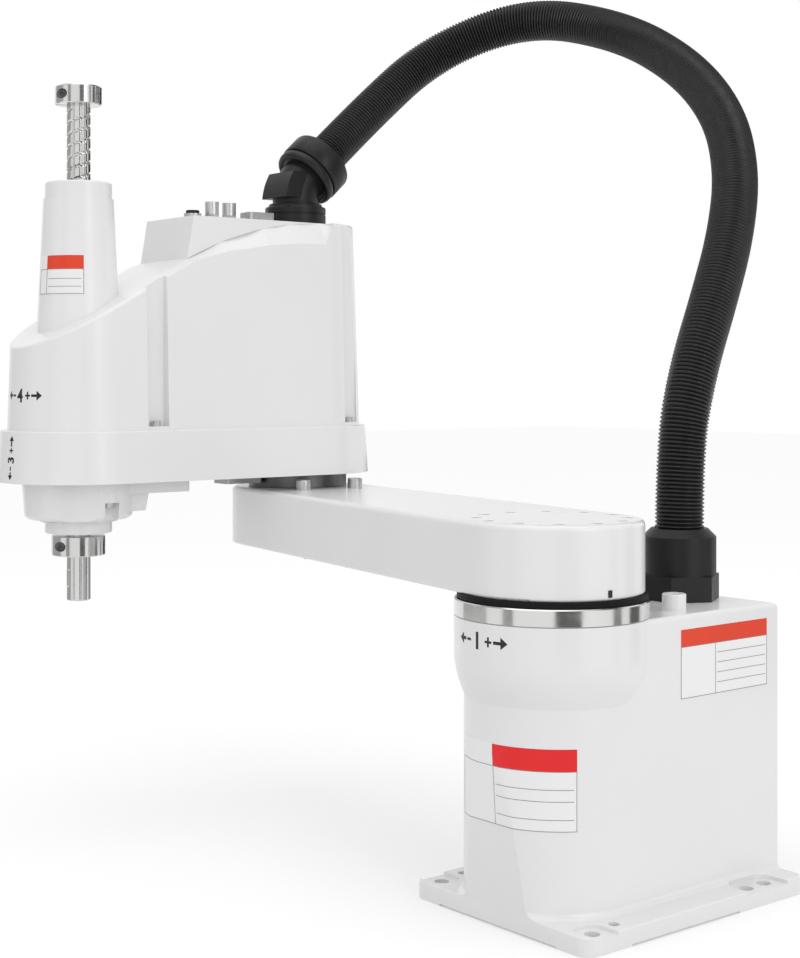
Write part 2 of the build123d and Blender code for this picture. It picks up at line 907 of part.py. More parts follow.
def make_second_joint():
    bearing_bottom = arm_1_top - j2_bearing_height
    with BuildPart() as j2_bearing:
        disc(ARM_1, bearing_bottom, arm_1_top, j2_bearing_radius, j2_bearing_bore, x=arm_1_length)
    save(j2_bearing, "j2_bearing")
    with BuildPart() as j2_stop_bolts:
        with BuildSketch(ARM_1.offset(arm_1_top)):
            with Locations(*stop_places()):
                Circle(stop_head_radius)
        extrude(amount=stop_head_height)
        fillet(j2_stop_bolts.faces().sort_by(Axis.Z)[-2:].edges(), 0.8)
        with BuildSketch(ARM_1.offset(arm_1_top + stop_head_height)):
            with Locations(*stop_places()):
                RegularPolygon(stop_head_radius / 2, 6)
        extrude(amount=-stop_head_height / 2, mode=Mode.SUBTRACT)
        with BuildSketch(ARM_1.offset(arm_1_top)):
            with Locations(*stop_places()):
                Circle(stop_thread_radius)
        extrude(amount=-stop_thread_length)
    save(j2_stop_bolts, "j2_stop_bolts")
    spigot_bottom = bearing_bottom - j2_spigot_reach
    with BuildPart() as j2_reducer:
        disc(ARM_2, arm_1_top + body_gap, frame_bottom, j2_disc_radius)
        disc(ARM_2, spigot_bottom, arm_1_top + body_gap, j2_bearing_bore - running_gap)
    save(j2_reducer, "j2_reducer")
    with BuildPart() as j2_stop_block:
        length = stop_block_end - stop_block_start
        block(
            ARM_2,
            frame_bottom - stop_block_height,
            frame_bottom,
            length,
            stop_block_width,
            x=stop_block_start + length / 2,
            corner=2,
        )
    save(j2_stop_block, "j2_stop_block")
    make_motor("j2_motor", ARM_2, 0, tray_floor, j2_motor_size, j2_motor_height, False)


# Arm 2 frame and the casing under it


def cover_screw_places():
    """The four cover screws, each at the bottom of its channel."""
    reach_front = cover_reach(channel_front_x) - channel_depth / 2
    reach_back = cover_reach(channel_back_x) - channel_depth / 2
    front = [(channel_front_x, side * reach_front) for side in (1, -1)]
    back = [(channel_back_x, side * reach_back) for side in (1, -1)]
    return front + back


def cover_reach(x):
    """Half width of the cover's foot at a distance from the second joint's axis."""
    if x < 0:
        return sqrt(cover_radius_inner**2 - x**2)
    return cover_radius_inner + (cover_radius_outer - cover_radius_inner) * x / arm_2_length


def casing_screw_places():
    """Screws of the lower casing, in the frame of the tool shaft."""
    sides = [polar(casing_screw_circle, angle) for angle in casing_side_angles]
    front = [polar(casing_front_circle, angle) for angle in casing_front_angles]
    return sides + front


def make_arm_2_frame():
    with BuildPart() as arm_2_frame:
        with BuildSketch(ARM_2.offset(frame_bottom)):
            capsule(frame_radius_inner, frame_radius_outer, arm_2_length)
        extrude(amount=frame_height, taper=frame_draft)
        fillet(top_edges(arm_2_frame), frame_edge)
        # the tray that holds the belts and the second joint's motor
        with BuildSketch(ARM_2.offset(tray_floor)):
            capsule(tray_radius_inner, tray_radius_outer, arm_2_length)
        extrude(amount=frame_height - frame_floor, mode=Mode.SUBTRACT)
        disc(ARM_2, frame_bottom, tray_floor, pilot_radius, mode=Mode.SUBTRACT)
        disc(SHAFT, frame_bottom, tray_floor, bearing_radius, mode=Mode.SUBTRACT)
        with Locations(ARM_2.offset(frame_top)):
            with Locations(*cover_screw_places()):
                Hole(cover_screw_radius, depth=cover_screw_length)
        with BuildSketch(SHAFT.offset(frame_bottom)):
            with Locations(*casing_screw_places()):
                Circle(casing_screw_radius)
        extrude(amount=frame_floor, mode=Mode.SUBTRACT)
    save(arm_2_frame, "arm_2_frame")


def make_lower_casing():
    pocket_top = casing_bottom + casing_pocket_height
    with BuildPart() as lower_casing:
        # round body with a narrower back, drafted towards its bottom
        with BuildSketch(SHAFT.offset(frame_bottom)):
            Circle(casing_radius)
            with Locations((casing_tail_x, 0)):
                Circle(casing_tail_radius)
            make_hull()
        extrude(amount=-casing_height, taper=casing_draft)
        fillet(bottom_edges(lower_casing), casing_edge)
        # shallow scoops in both flanks
        with BuildSketch(SHAFT.offset(casing_bottom)):
            with Locations(*[polar(scoop_distance, side * scoop_angle) for side in (1, -1)]):
                Circle(scoop_radius)
        extrude(amount=casing_height, mode=Mode.SUBTRACT)
        # step behind it, with a slanted end
        with BuildSketch(SHAFT_SIDE):
            with BuildLine():
                Polyline(
                    (0, frame_bottom),
                    (step_end_x, frame_bottom),
                    (step_end_x, frame_bottom - wing_height),
                    (step_end_x + step_slant, frame_bottom - step_height),
                    (0, frame_bottom - step_height),
                    close=True,
                )
            make_face()
        extrude(amount=step_half_width, both=True)
        # thin plate that closes the frame from below
        block(
            SHAFT,
            frame_bottom - wing_height,
            frame_bottom,
            -wing_end_x,
            2 * wing_half_width,
            x=wing_end_x / 2,
            corner=wing_corner,
        )
        # half-round bosses over the open screw pockets
        with BuildSketch(SHAFT.offset(pocket_top)):
            with Locations(*[polar(casing_screw_circle, angle) for angle in casing_side_angles]):
                Circle(casing_boss_radius)
        extrude(amount=frame_bottom - pocket_top)
        for angle in casing_side_angles:
            with BuildSketch(SHAFT.offset(casing_bottom)):
                with Locations(
                    polar(casing_screw_circle, angle),
                    polar(casing_screw_circle + 2 * casing_boss_radius, angle),
                ):
                    Circle(casing_boss_radius)
                make_hull()
            extrude(amount=casing_pocket_height, mode=Mode.SUBTRACT)
        with BuildSketch(SHAFT.offset(casing_bottom)):
            with Locations(*[polar(casing_front_circle, angle) for angle in casing_front_angles]):
                Circle(casing_screw_head + body_gap)
        extrude(amount=casing_pocket_height, mode=Mode.SUBTRACT)
        disc(SHAFT, casing_bottom + bearing_lip, frame_bottom, bearing_radius, mode=Mode.SUBTRACT)
        disc(SHAFT, casing_bottom, casing_bottom + bearing_lip, nut_radius + 2, mode=Mode.SUBTRACT)
        with BuildSketch(SHAFT.offset(pocket_top)):
            with Locations(*casing_screw_places()):
                Circle(casing_screw_radius)
        extrude(amount=casing_height - casing_pocket_height, mode=Mode.SUBTRACT)
    save(lower_casing, "lower_casing")
    head_top = casing_bottom + casing_pocket_height
    with BuildPart() as lower_casing_screws:
        with BuildSketch(SHAFT.offset(head_top)):
            with Locations(*casing_screw_places()):
                Circle(casing_screw_head)
        extrude(amount=-casing_screw_head_height)
        with BuildSketch(SHAFT.offset(head_top)):
            with Locations(*casing_screw_places()):
                Circle(casing_screw_radius)
        extrude(amount=casing_height - casing_pocket_height + frame_floor)
        with BuildSketch(SHAFT.offset(head_top - casing_screw_head_height)):
            with Locations(*casing_screw_places()):
                RegularPolygon(casing_screw_head / 2, 6)
        extrude(amount=casing_screw_head_height / 2, mode=Mode.SUBTRACT)
    save(lower_casing_screws, "lower_casing_screws")
    with BuildPart() as shaft_seal_cap:
        disc(SHAFT, casing_bottom - seal_cap_height, casing_bottom, seal_cap_radius)
        disc(SHAFT, casing_bottom - seal_cap_flange_height, casing_bottom, seal_cap_flange_radius)
        chamfer(bottom_edges(shaft_seal_cap), 0.8)
        disc(
            SHAFT,
            casing_bottom - seal_cap_height,
            casing_bottom,
            shaft_radius + seal_gap,
            mode=Mode.SUBTRACT,
        )
    save(shaft_seal_cap, "shaft_seal_cap")


# Arm 2 cover


def shoulder_section(x, drop, inset):
    """Three corners (y, z) of the wedge that bevels the cover's shoulder at a distance from the joint."""
    if x > crest_end[0]:
        crest_z = crest_end[1] - (x - crest_end[0]) * tan(radians(nose_slope))
    else:
        crest_z = crest_centre_z + sqrt(crest_radius**2 - (x - crest_start) ** 2)
    length = sqrt(drop**2 + shoulder_inset**2)
    inner = (
        console_half_width - inset * drop / length,
        crest_z - inset * shoulder_inset / length,
    )
    outer_y = inner[0] + shoulder_reach * shoulder_inset
    return [
        inner,
        (outer_y, inner[1] - shoulder_reach * drop),
        (outer_y, inner[1] + shoulder_overcut),
    ]


def cut_shoulders(inset):
    """Bevel both long shoulders of the cover, deepest towards the second joint."""
    for side in (1, -1):
        with BuildPart(mode=Mode.PRIVATE) as wedge:
            for ahead, drop in shoulder_stations:
                x = crest_end[0] + ahead
                section = Plane(
                    origin=ARM_2.from_local_coords((x, 0, 0)),
                    x_dir=side * ARM_2.y_dir,
                    z_dir=side * ARM_2.x_dir,
                )
                with BuildSketch(section):
                    with BuildLine():
                        Polyline(*shoulder_section(x, drop, inset), close=True)
                    make_face()
            loft(ruled=True)
        add(wedge.part, mode=Mode.SUBTRACT)


def cover_form(inset):
    """The cover's outer form, or the hollow inside it at a distance from the walls."""
    with BuildPart() as form:
        with BuildSketch(ARM_2.offset(frame_top)):
            capsule(cover_radius_inner - inset, cover_radius_outer - inset, arm_2_length)
        extrude(amount=cover_top - frame_top - inset, taper=cover_draft)
        with BuildSketch(ARM_2_SIDE):
            with BuildLine():
                crest = CenterArc(
                    (crest_start, crest_centre_z),
                    crest_radius - inset,
                    90 - nose_slope,
                    nose_slope,
                )
                slope_start = crest @ 0
                nose_z = slope_start.Y - (nose_x - slope_start.X) * tan(radians(nose_slope))
                Polyline(
                    slope_start,
                    (nose_x, nose_z),
                    (nose_x, frame_top),
                    (-nose_x, frame_top),
                    (-nose_x, cover_top - inset),
                    crest @ 1,
                )
            make_face()
        extrude(amount=2 * cover_radius_outer, both=True, mode=Mode.INTERSECT)
        if inset == 0:
            rim = form.edges().filter_by(lambda edge: edge.center().Z > frame_top + cover_edge)
            rim = rim.filter_by(lambda edge: not edge_is_upright(edge))
            rim = rim.filter_by(lambda edge: not edge_crosses(edge))
            fillet(rim, cover_edge)
        cut_shoulders(inset)
        with BuildSketch(ARM_2_SIDE):
            with BuildLine():
                Polyline(
                    (console_start_x, crest_centre_z + crest_radius - console_depth),
                    (console_start_x, cover_top - inset),
                    (console_top_x - inset, cover_top - inset),
                    (console_foot_x - inset, cover_top - console_depth - inset),
                    close=True,
                )
            make_face()
        extrude(amount=console_half_width - inset, both=True)
        for x in (channel_front_x, channel_back_x):
            for side in (1, -1):
                inner = cover_reach(x) - channel_depth - inset
                with BuildSketch(ARM_2.offset(channel_bottom(inset))):
                    with Locations((x, side * (inner + channel_depth + inset))):
                        Rectangle(channel_width + 2 * inset, 2 * (channel_depth + inset))
                extrude(amount=cover_top, mode=Mode.SUBTRACT)
    return form.part


def channel_bottom(inset):
    """Level of a screw channel's floor; the hollow leaves the whole boss under it."""
    if inset == 0:
        return frame_top + channel_floor
    return frame_top


def edge_is_upright(edge):
    """Whether an edge runs up the wall."""
    return abs((edge @ 1).Z - (edge @ 0).Z) > 0.9 * edge.length


def edge_crosses(edge):
    """Whether an edge runs across the arm from wall to wall."""
    along = ARM_2.to_local_coords(edge @ 1) - ARM_2.to_local_coords(edge @ 0)
    return abs(along.Y) > 0.95 * edge.length


def tube_outline(bottom, top, mode=Mode.ADD):
    """Drafted round tube about the tool shaft."""
    radius_bottom = tube_radius_top + (tube_top - bottom) * tan(radians(tube_draft))
    radius_top = tube_radius_top + (tube_top - top) * tan(radians(tube_draft))
    with BuildSketch(SHAFT_SIDE, mode=Mode.PRIVATE) as section:
        with BuildLine():
            Polyline((0, bottom), (radius_bottom, bottom), (radius_top, top), (0, top), close=True)
        make_face()
    revolve(section.sketch, axis=Axis(SHAFT.origin, (0, 0, 1)), mode=mode)


def make_cover():
    outside = cover_form(0)
    inside = cover_form(cover_wall)
    with BuildPart() as arm_2_cover:
        add(outside)
        add(inside, mode=Mode.SUBTRACT)
        tube_outline(tube_bottom, cover_top, mode=Mode.SUBTRACT)
        disc(
            ARM_2,
            cover_top - 2 * cover_wall,
            cover_top,
            elbow_spigot_radius,
            x=elbow_offset_x,
            mode=Mode.SUBTRACT,
        )
        with BuildSketch(ARM_2.offset(frame_top)):
            with Locations(*cover_screw_places()):
                Circle(cover_screw_radius)
        extrude(amount=channel_floor, mode=Mode.SUBTRACT)
    save(arm_2_cover, "arm_2_cover")
    head_bottom = frame_top + channel_floor
    with BuildPart() as cover_screws:
        with BuildSketch(ARM_2.offset(head_bottom)):
            with Locations(*cover_screw_places()):
                Circle(cover_screw_head)
        extrude(amount=cover_screw_height)
        with BuildSketch(ARM_2.offset(head_bottom)):
            with Locations(*cover_screw_places()):
                Circle(cover_screw_radius)
        extrude(amount=-(channel_floor + cover_screw_length))
        with BuildSketch(ARM_2.offset(head_bottom + cover_screw_height)):
            with Locations(*cover_screw_places()):
                RegularPolygon(cover_screw_head / 2, 6)
        extrude(amount=-cover_screw_height / 2, mode=Mode.SUBTRACT)
    save(cover_screws, "cover_screws")
    with BuildPart() as shaft_tube:
        tube_outline(tube_bottom, tube_top)
        disc(SHAFT, tube_bottom, tube_top, tube_bore, mode=Mode.SUBTRACT)
    save(shaft_tube, "shaft_tube")
    with BuildPart() as tube_cap:
        disc(SHAFT, tube_top, tube_top + tube_cap_height, tube_cap_radius)
        fillet(top_edges(tube_cap), 2)
        disc(SHAFT, tube_top - tube_cap_spigot, tube_top, tube_bore)
        disc(
            SHAFT,
            tube_top - tube_cap_spigot,
            tube_top + tube_cap_height,
            tube_cap_bore,
            mode=Mode.SUBTRACT,
        )
    save(tube_cap, "tube_cap")


# Fittings on the console and the elbow


def make_console_fittings():
    with BuildPart() as brake_button_bezel:
        top = cover_top + bezel_height
        disc(ARM_2, cover_top, top, bezel_radius, button_radius + body_gap, x=button_x)
    save(brake_button_bezel, "brake_button_bezel")
    with BuildPart() as brake_button:
        bottom = cover_top + button_travel + body_gap
        top = cover_top + bezel_height + button_height
        disc(ARM_2, bottom, top, button_radius, x=button_x)
        fillet(top_edges(brake_button), 0.8)
    save(brake_button, "brake_button")
    places = [(x, 0) for x in air_fitting_x]
    with BuildPart() as top_air_fittings:
        with BuildSketch(ARM_2.offset(cover_top)):
            with Locations(*places):
                RegularPolygon(air_fitting_radius, 6)
        extrude(amount=air_fitting_height / 3)
        with BuildSketch(ARM_2.offset(cover_top)):
            with Locations(*places):
                Circle(air_fitting_radius - 1)
        extrude(amount=air_fitting_height)
        with BuildSketch(ARM_2.offset(cover_top + air_fitting_height)):
            with Locations(*places):
                Circle(air_tube_radius)
        extrude(amount=-air_tube_depth, mode=Mode.SUBTRACT)
    save(top_air_fittings, "top_air_fittings")
    with BuildPart() as top_connector:
        top = cover_top + connector_height
        x = connector_x
        y = connector_y
        block(ARM_2, cover_top, top, connector_length, connector_width, x=x, y=y, corner=2)
        with BuildSketch(ARM_2.offset(top)):
            with Locations((x, y)):
                Rectangle(connector_length - 4, connector_width - 4)
        extrude(amount=-connector_height / 2, mode=Mode.SUBTRACT)
    save(top_connector, "top_connector")


def make_elbow():
    base_top = cover_top + elbow_base_height
    rim_top = base_top + elbow_rim_height
    centre = cover_top + elbow_centre_height
    nut_start = elbow_arm_length
    nut_end = elbow_arm_length + elbow_nut_length
    slope = radians(90 + elbow_tilt)
    with BuildPart() as elbow_base:
        disc(ARM_2, cover_top, base_top, elbow_base_radius, x=elbow_offset_x)
        disc(ARM_2, base_top, rim_top, elbow_rim_radius, x=elbow_offset_x)
        chamfer(top_edges(elbow_base), 1)
        disc(ARM_2, cover_top - cover_wall, cover_top, elbow_spigot_radius, x=elbow_offset_x)
    save(elbow_base, "elbow_base")
    with BuildPart() as elbow_body:
        with BuildLine(ARM_2_SIDE):
            bend = FilletPolyline(
                (elbow_offset_x, rim_top),
                (elbow_offset_x, centre),
                (elbow_offset_x + elbow_arm_length * cos(slope), centre + elbow_arm_length * sin(slope)),
                radius=elbow_bend_radius,
            )
        with BuildSketch(Plane(origin=bend @ 0, x_dir=ARM_2.x_dir, z_dir=bend % 0)):
            Circle(elbow_tube_radius)
        sweep()
        # saddle that clips the hose cover to the elbow
        with BuildSketch(ARM_2_SIDE):
            with BuildLine():
                start = Line(
                    (elbow_offset_x + clip_inner, cover_top + clip_bottom),
                    (elbow_offset_x + clip_outer, cover_top + clip_bottom),
                )
                middle = (
                    elbow_offset_x + (clip_outer + clip_tip) / 2 + clip_bulge,
                    cover_top + (clip_bottom + clip_top) / 2,
                )
                tip = (elbow_offset_x + clip_tip, cover_top + clip_top)
                back = ThreePointArc(start @ 1, middle, tip)
                Polyline(back @ 1, (elbow_offset_x, cover_top + clip_top), start @ 0)
            make_face()
        extrude(amount=clip_width / 2, both=True)
    save(elbow_body, "elbow_body")
    with BuildPart() as elbow_nut:
        with BuildSketch(elbow_plane(nut_start)):
            Circle(elbow_nut_radius)
        extrude(amount=elbow_nut_length)
        chamfer(elbow_nut.edges().filter_by(GeomType.CIRCLE), elbow_nut_chamfer)
        with BuildSketch(elbow_plane(nut_end)):
            Circle(hose_radius + slip_gap)
        extrude(amount=-hose_seat_depth, mode=Mode.SUBTRACT)
    save(elbow_nut, "elbow_nut")


def on_elbow_axis(distance):
    """Point on the elbow's slanted axis at a distance from its bend."""
    slope = radians(90 + elbow_tilt)
    x = elbow_offset_x + distance * cos(slope)
    z = cover_top + elbow_centre_height + distance * sin(slope)
    return ARM_2.from_local_coords((x, 0, z))


def elbow_plane(distance):
    """Plane across the elbow's slanted arm, facing out of it."""
    slope = radians(90 + elbow_tilt)
    origin = on_elbow_axis(distance)
    outward = cos(slope) * ARM_2.x_dir + Vector(0, 0, sin(slope))
    return Plane(origin=origin, x_dir=ARM_2.y_dir, z_dir=outward)


# Drive inside arm 2


def add_pulley(frame, x, bottom, radius):
    """Belt pulley with a rim above and below the belt."""
    disc(frame, bottom, bottom + pulley_width, radius, x=x)
    for level in (bottom, bottom + pulley_width - pulley_rim_width):
        disc(frame, level, level + pulley_rim_width, radius + pulley_rim_height, x=x)


def make_belt(name, bottom, motor_x):
    """Toothed belt between a motor's pulley and the nut's pulley."""
    inner = belt_clearance
    outer = belt_clearance + belt_thickness
    width = pulley_width - 2 * pulley_rim_width - 2 * body_gap
    with BuildPart() as belt:
        with BuildSketch(ARM_2.offset(bottom + pulley_rim_width + body_gap)):
            for gap, mode in ((outer, Mode.ADD), (inner, Mode.SUBTRACT)):
                with BuildSketch(mode=Mode.PRIVATE) as loop:
                    with Locations((motor_x, 0)):
                        Circle(motor_pulley_radius + gap)
                    with Locations((arm_2_length, 0)):
                        Circle(nut_pulley_radius + gap)
                    make_hull()
                add(loop.sketch, mode=mode)
        extrude(amount=width)
    save(belt, name)


def make_motor_pulley(name, x, bottom):
    """Motor pulley with the rotor shaft that carries it up into the motor."""
    with BuildPart() as pulley:
        add_pulley(ARM_2, x, bottom, motor_pulley_radius)
        disc(ARM_2, bottom + pulley_width, motor_plate_top + rotor_reach, rotor_radius, x=x)
    save(pulley, name)


def make_drive():
    with BuildPart() as motor_plate:
        with BuildSketch(ARM_2.offset(frame_top)):
            lap = motor_plate_lap
            capsule(tray_radius_inner + lap, tray_radius_outer + lap, arm_2_length)
            with Locations((motor_plate_start - tray_radius_inner - lap, 0)):
                Rectangle(
                    2 * (tray_radius_inner + lap),
                    2 * (tray_radius_inner + lap),
                    mode=Mode.SUBTRACT,
                )
            with Locations((z_motor_x, 0), (r_motor_x, 0)):
                Circle(rotor_radius + 1, mode=Mode.SUBTRACT)
            with Locations((arm_2_length, 0)):
                Circle(nut_radius + 1, mode=Mode.SUBTRACT)
        extrude(amount=motor_plate_thickness)
    save(motor_plate, "motor_plate")
    make_motor("z_motor", ARM_2, z_motor_x, motor_plate_top, z_motor_size, z_motor_height, True)
    make_motor("r_motor", ARM_2, r_motor_x, motor_plate_top, r_motor_size, r_motor_height, True)
    make_motor_pulley("z_motor_pulley", z_motor_x, screw_pulley_z)
    make_motor_pulley("r_motor_pulley", r_motor_x, spline_pulley_z)
    make_belt("z_belt", screw_pulley_z, z_motor_x)
    make_belt("r_belt", spline_pulley_z, r_motor_x)
    shaft_bore = shaft_radius + running_gap
    with BuildPart() as spline_nut:
        bottom = casing_bottom + bearing_lip
        top = spline_pulley_z + pulley_width
        disc(SHAFT, bottom, top, nut_radius)
        add_pulley(SHAFT, 0, spline_pulley_z, nut_pulley_radius)
        disc(SHAFT, bottom, top, shaft_bore, mode=Mode.SUBTRACT)
    save(spline_nut, "spline_nut")
    with BuildPart() as spline_bearings:
        for bottom in (casing_bottom + bearing_lip, tray_floor - bearing_width):
            disc(SHAFT, bottom, bottom + bearing_width, bearing_radius, nut_radius + running_gap)
    save(spline_bearings, "spline_bearings")
    with BuildPart() as screw_nut:
        top = screw_pulley_z + screw_nut_height
        disc(SHAFT, screw_pulley_z, top, nut_radius)
        add_pulley(SHAFT, 0, screw_pulley_z, nut_pulley_radius)
        disc(SHAFT, screw_pulley_z, top, shaft_bore, mode=Mode.SUBTRACT)
    save(screw_nut, "screw_nut")
    with BuildPart() as nut_bearing:
        bottom = motor_plate_top + nut_bearing_lip
        top = bottom + nut_bearing_width
        disc(SHAFT, bottom, top, nut_bearing_radius, nut_radius + running_gap)
    save(nut_bearing, "nut_bearing")
    with BuildPart() as nut_housing:
        top = motor_plate_top + nut_housing_height
        disc(SHAFT, motor_plate_top, top, nut_housing_radius, nut_radius + 1)
        bottom = motor_plate_top + nut_bearing_lip
        disc(SHAFT, bottom, top, nut_bearing_radius, mode=Mode.SUBTRACT)
    save(nut_housing, "nut_housing")


# Tool shaft


def make_collar(name, bottom, height, radius):
    """Split clamp collar with its tapped ear recess."""
    with BuildPart() as collar:
        disc(SHAFT, bottom, bottom + height, radius)
        chamfer(top_edges(collar), collar_chamfer)
        chamfer(bottom_edges(collar), collar_chamfer)
        disc(SHAFT, bottom, bottom + height, shaft_radius, mode=Mode.SUBTRACT)
        with BuildSketch(COLLAR.offset(bottom)):
            with Locations((0, radius / 2)):
                Rectangle(collar_slit, radius)
        extrude(amount=height, mode=Mode.SUBTRACT)
        # recess and thread of the clamp screw, across the slit
        middle = bottom + height / 2
        across = collar_screw_plane(middle, radius)
        with BuildSketch(across):
            Circle(collar_screw_radius)
        extrude(amount=-collar_screw_reach(radius), mode=Mode.SUBTRACT)
        with BuildSketch(across):
            Circle(collar_screw_head + slip_gap)
        extrude(amount=radius, mode=Mode.SUBTRACT)
    save(collar, name)


def collar_screw_plane(height, radius):
    """Plane of the clamp screw's seat in a collar, facing the screw's head."""
    seat = (-(collar_screw_head + slip_gap), (shaft_radius + radius) / 2, height)
    return Plane(origin=COLLAR.from_local_coords(seat), x_dir=(0, 0, 1), z_dir=-COLLAR.x_dir)


def collar_screw_reach(radius):
    """Length of a clamp screw's thread, which ends inside the collar."""
    outside = (shaft_radius + radius) / 2 + collar_screw_radius
    return collar_screw_head + sqrt(radius**2 - outside**2) - collar_chamfer


def make_tool_shaft():
    lower_bottom = casing_bottom - seal_cap_height - lower_collar_gap - lower_collar_height
    with BuildPart() as ball_screw_spline:
        disc(SHAFT, shaft_bottom, shaft_top, shaft_radius)
        ends = ball_screw_spline.edges().filter_by(GeomType.CIRCLE)
        chamfer(ends, shaft_chamfer)
        # spline grooves run the whole length of the shaft
        with BuildSketch(SHAFT.offset(shaft_bottom)):
            with PolarLocations(shaft_radius + groove_radius / 3, groove_count, start_angle=groove_start):
                Circle(groove_radius)
        extrude(amount=shaft_top - shaft_bottom, mode=Mode.SUBTRACT)
        disc(SHAFT, shaft_bottom, shaft_top, tool_bore_radius, mode=Mode.SUBTRACT)
        # relief under the lower collar's seat, where the tool end begins
        disc(
            SHAFT,
            lower_bottom - collar_relief_width,
            lower_bottom,
            shaft_radius + 1,
            shaft_radius - collar_relief_depth,
            mode=Mode.SUBTRACT,
        )
    save(ball_screw_spline, "ball_screw_spline")
    upper_bottom = shaft_top - 1 - upper_collar_height
    make_collar("lower_collar", lower_bottom, lower_collar_height, lower_collar_radius)
    make_collar("upper_collar", upper_bottom, upper_collar_height, upper_collar_radius)
    collars = (
        (lower_bottom + lower_collar_height / 2, lower_collar_radius),
        (upper_bottom + upper_collar_height / 2, upper_collar_radius),
    )
    with BuildPart() as collar_screws:
        for height, radius in collars:
            seat = collar_screw_plane(height, radius)
            with BuildSketch(seat):
                Circle(collar_screw_radius)
            extrude(amount=-collar_screw_reach(radius))
            with BuildSketch(seat):
                Circle(collar_screw_head)
            extrude(amount=collar_screw_head)
            with BuildSketch(seat.offset(collar_screw_head)):
                RegularPolygon(collar_screw_head / 2, 6)
            extrude(amount=-collar_screw_head / 2, mode=Mode.SUBTRACT)
    save(collar_screws, "collar_screws")


# Cable hose

# points of the route, with heights above the top of the base
hose_points = [
    (gland_x, 0, 48),
    (gland_x, 0, 116),
    (-153, 0, 176),
    (-183, -4, 232),
    (-215, -14, 284),
    (-246, -33, 337),
    (-275, -70, 392),
    (-297, -132, 444),
    (-305, -216, 490),
    (-275, -308, 515),
    (-214, -379, 482),
]
hose_end = elbow_arm_length + elbow_nut_length - hose_seat_depth
hose_route = [(x, y, base_height + rise) for x, y, rise in hose_points]
for distance in (hose_end + hose_end_run, hose_end):
    hose_route.append(tuple(on_elbow_axis(distance)))
hose_split_count = 9


def bend_radii(points):
    """Radius at each inner point of a route, from its shorter run and its turn."""
    radii = []
    for before, here, after in zip(points, points[1:], points[2:]):
        arriving = Vector(*here) - Vector(*before)
        leaving = Vector(*after) - Vector(*here)
        turn = radians(arriving.get_angle(leaving))
        radii.append(0.45 * min(arriving.length, leaving.length) / tan(turn / 2))
    return radii


def make_hose(name, points, radii):
    """Plain round hose along straight runs joined by tangent arcs."""
    with BuildPart() as hose:
        with BuildLine():
            route = FilletPolyline(*points, radius=radii)
        with BuildSketch(Plane(origin=route @ 0, z_dir=route % 0)):
            Circle(hose_radius)
        sweep()
    save(hose, name)
    volume = pi * hose_radius**2 * route.length
    print(name, "length", round(route.length, 1), "radii", [round(radius) for radius in radii])
    print(name, "volume ratio", round(hose.part.volume / volume, 6))


def make_hoses():
    """One hose in two lengths that meet in the middle of a straight run, where arm 1 carries it."""
    radii = bend_radii(hose_route)
    middle = (Vector(*hose_route[hose_split_count - 1]) + Vector(*hose_route[hose_split_count])) / 2
    joint = (middle.X, middle.Y, middle.Z)
    make_hose("hose_lower", hose_route[:hose_split_count] + [joint], radii[: hose_split_count - 1])
    make_hose("hose_upper", [joint] + hose_route[hose_split_count:], radii[hose_split_count - 1 :])


def make_all():
    make_base_casting()
    make_rear_panel()
    make_socket(
        "power_socket",
        base_height - power_socket_drop,
        power_socket_width,
        power_socket_height,
        power_socket_depth,
    )
    make_socket(
        "signal_socket",
        base_height - signal_socket_drop,
        signal_socket_width,
        signal_socket_height,
        signal_socket_depth,
    )
    make_rear_air_fittings()
    make_hose_gland()
    make_base_top_plug()
    make_first_joint()
    make_arm_1()
    make_arm_1_details()
    make_second_joint()
    make_arm_2_frame()
    make_lower_casing()
    make_cover()
    make_console_fittings()
    make_elbow()
    make_drive()
    make_tool_shaft()
    make_hoses()


make_all()
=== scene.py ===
import json
import math

import bmesh
import bpy
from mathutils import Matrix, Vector
from mathutils.bvhtree import BVHTree


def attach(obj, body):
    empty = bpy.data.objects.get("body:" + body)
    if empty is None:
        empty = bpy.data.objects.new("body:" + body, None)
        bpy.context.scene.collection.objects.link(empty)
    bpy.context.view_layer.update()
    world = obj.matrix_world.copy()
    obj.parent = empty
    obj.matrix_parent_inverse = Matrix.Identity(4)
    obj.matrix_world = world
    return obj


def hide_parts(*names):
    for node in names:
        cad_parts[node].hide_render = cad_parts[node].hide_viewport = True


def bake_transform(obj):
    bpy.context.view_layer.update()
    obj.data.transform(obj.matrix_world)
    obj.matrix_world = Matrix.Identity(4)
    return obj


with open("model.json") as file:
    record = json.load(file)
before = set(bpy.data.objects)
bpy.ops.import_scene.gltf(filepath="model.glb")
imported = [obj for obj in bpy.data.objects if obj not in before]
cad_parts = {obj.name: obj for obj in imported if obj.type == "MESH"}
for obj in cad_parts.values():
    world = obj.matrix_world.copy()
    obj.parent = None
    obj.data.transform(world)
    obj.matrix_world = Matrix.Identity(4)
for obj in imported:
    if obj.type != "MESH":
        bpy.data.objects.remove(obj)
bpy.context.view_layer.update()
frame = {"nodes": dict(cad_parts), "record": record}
nodes = frame["nodes"]

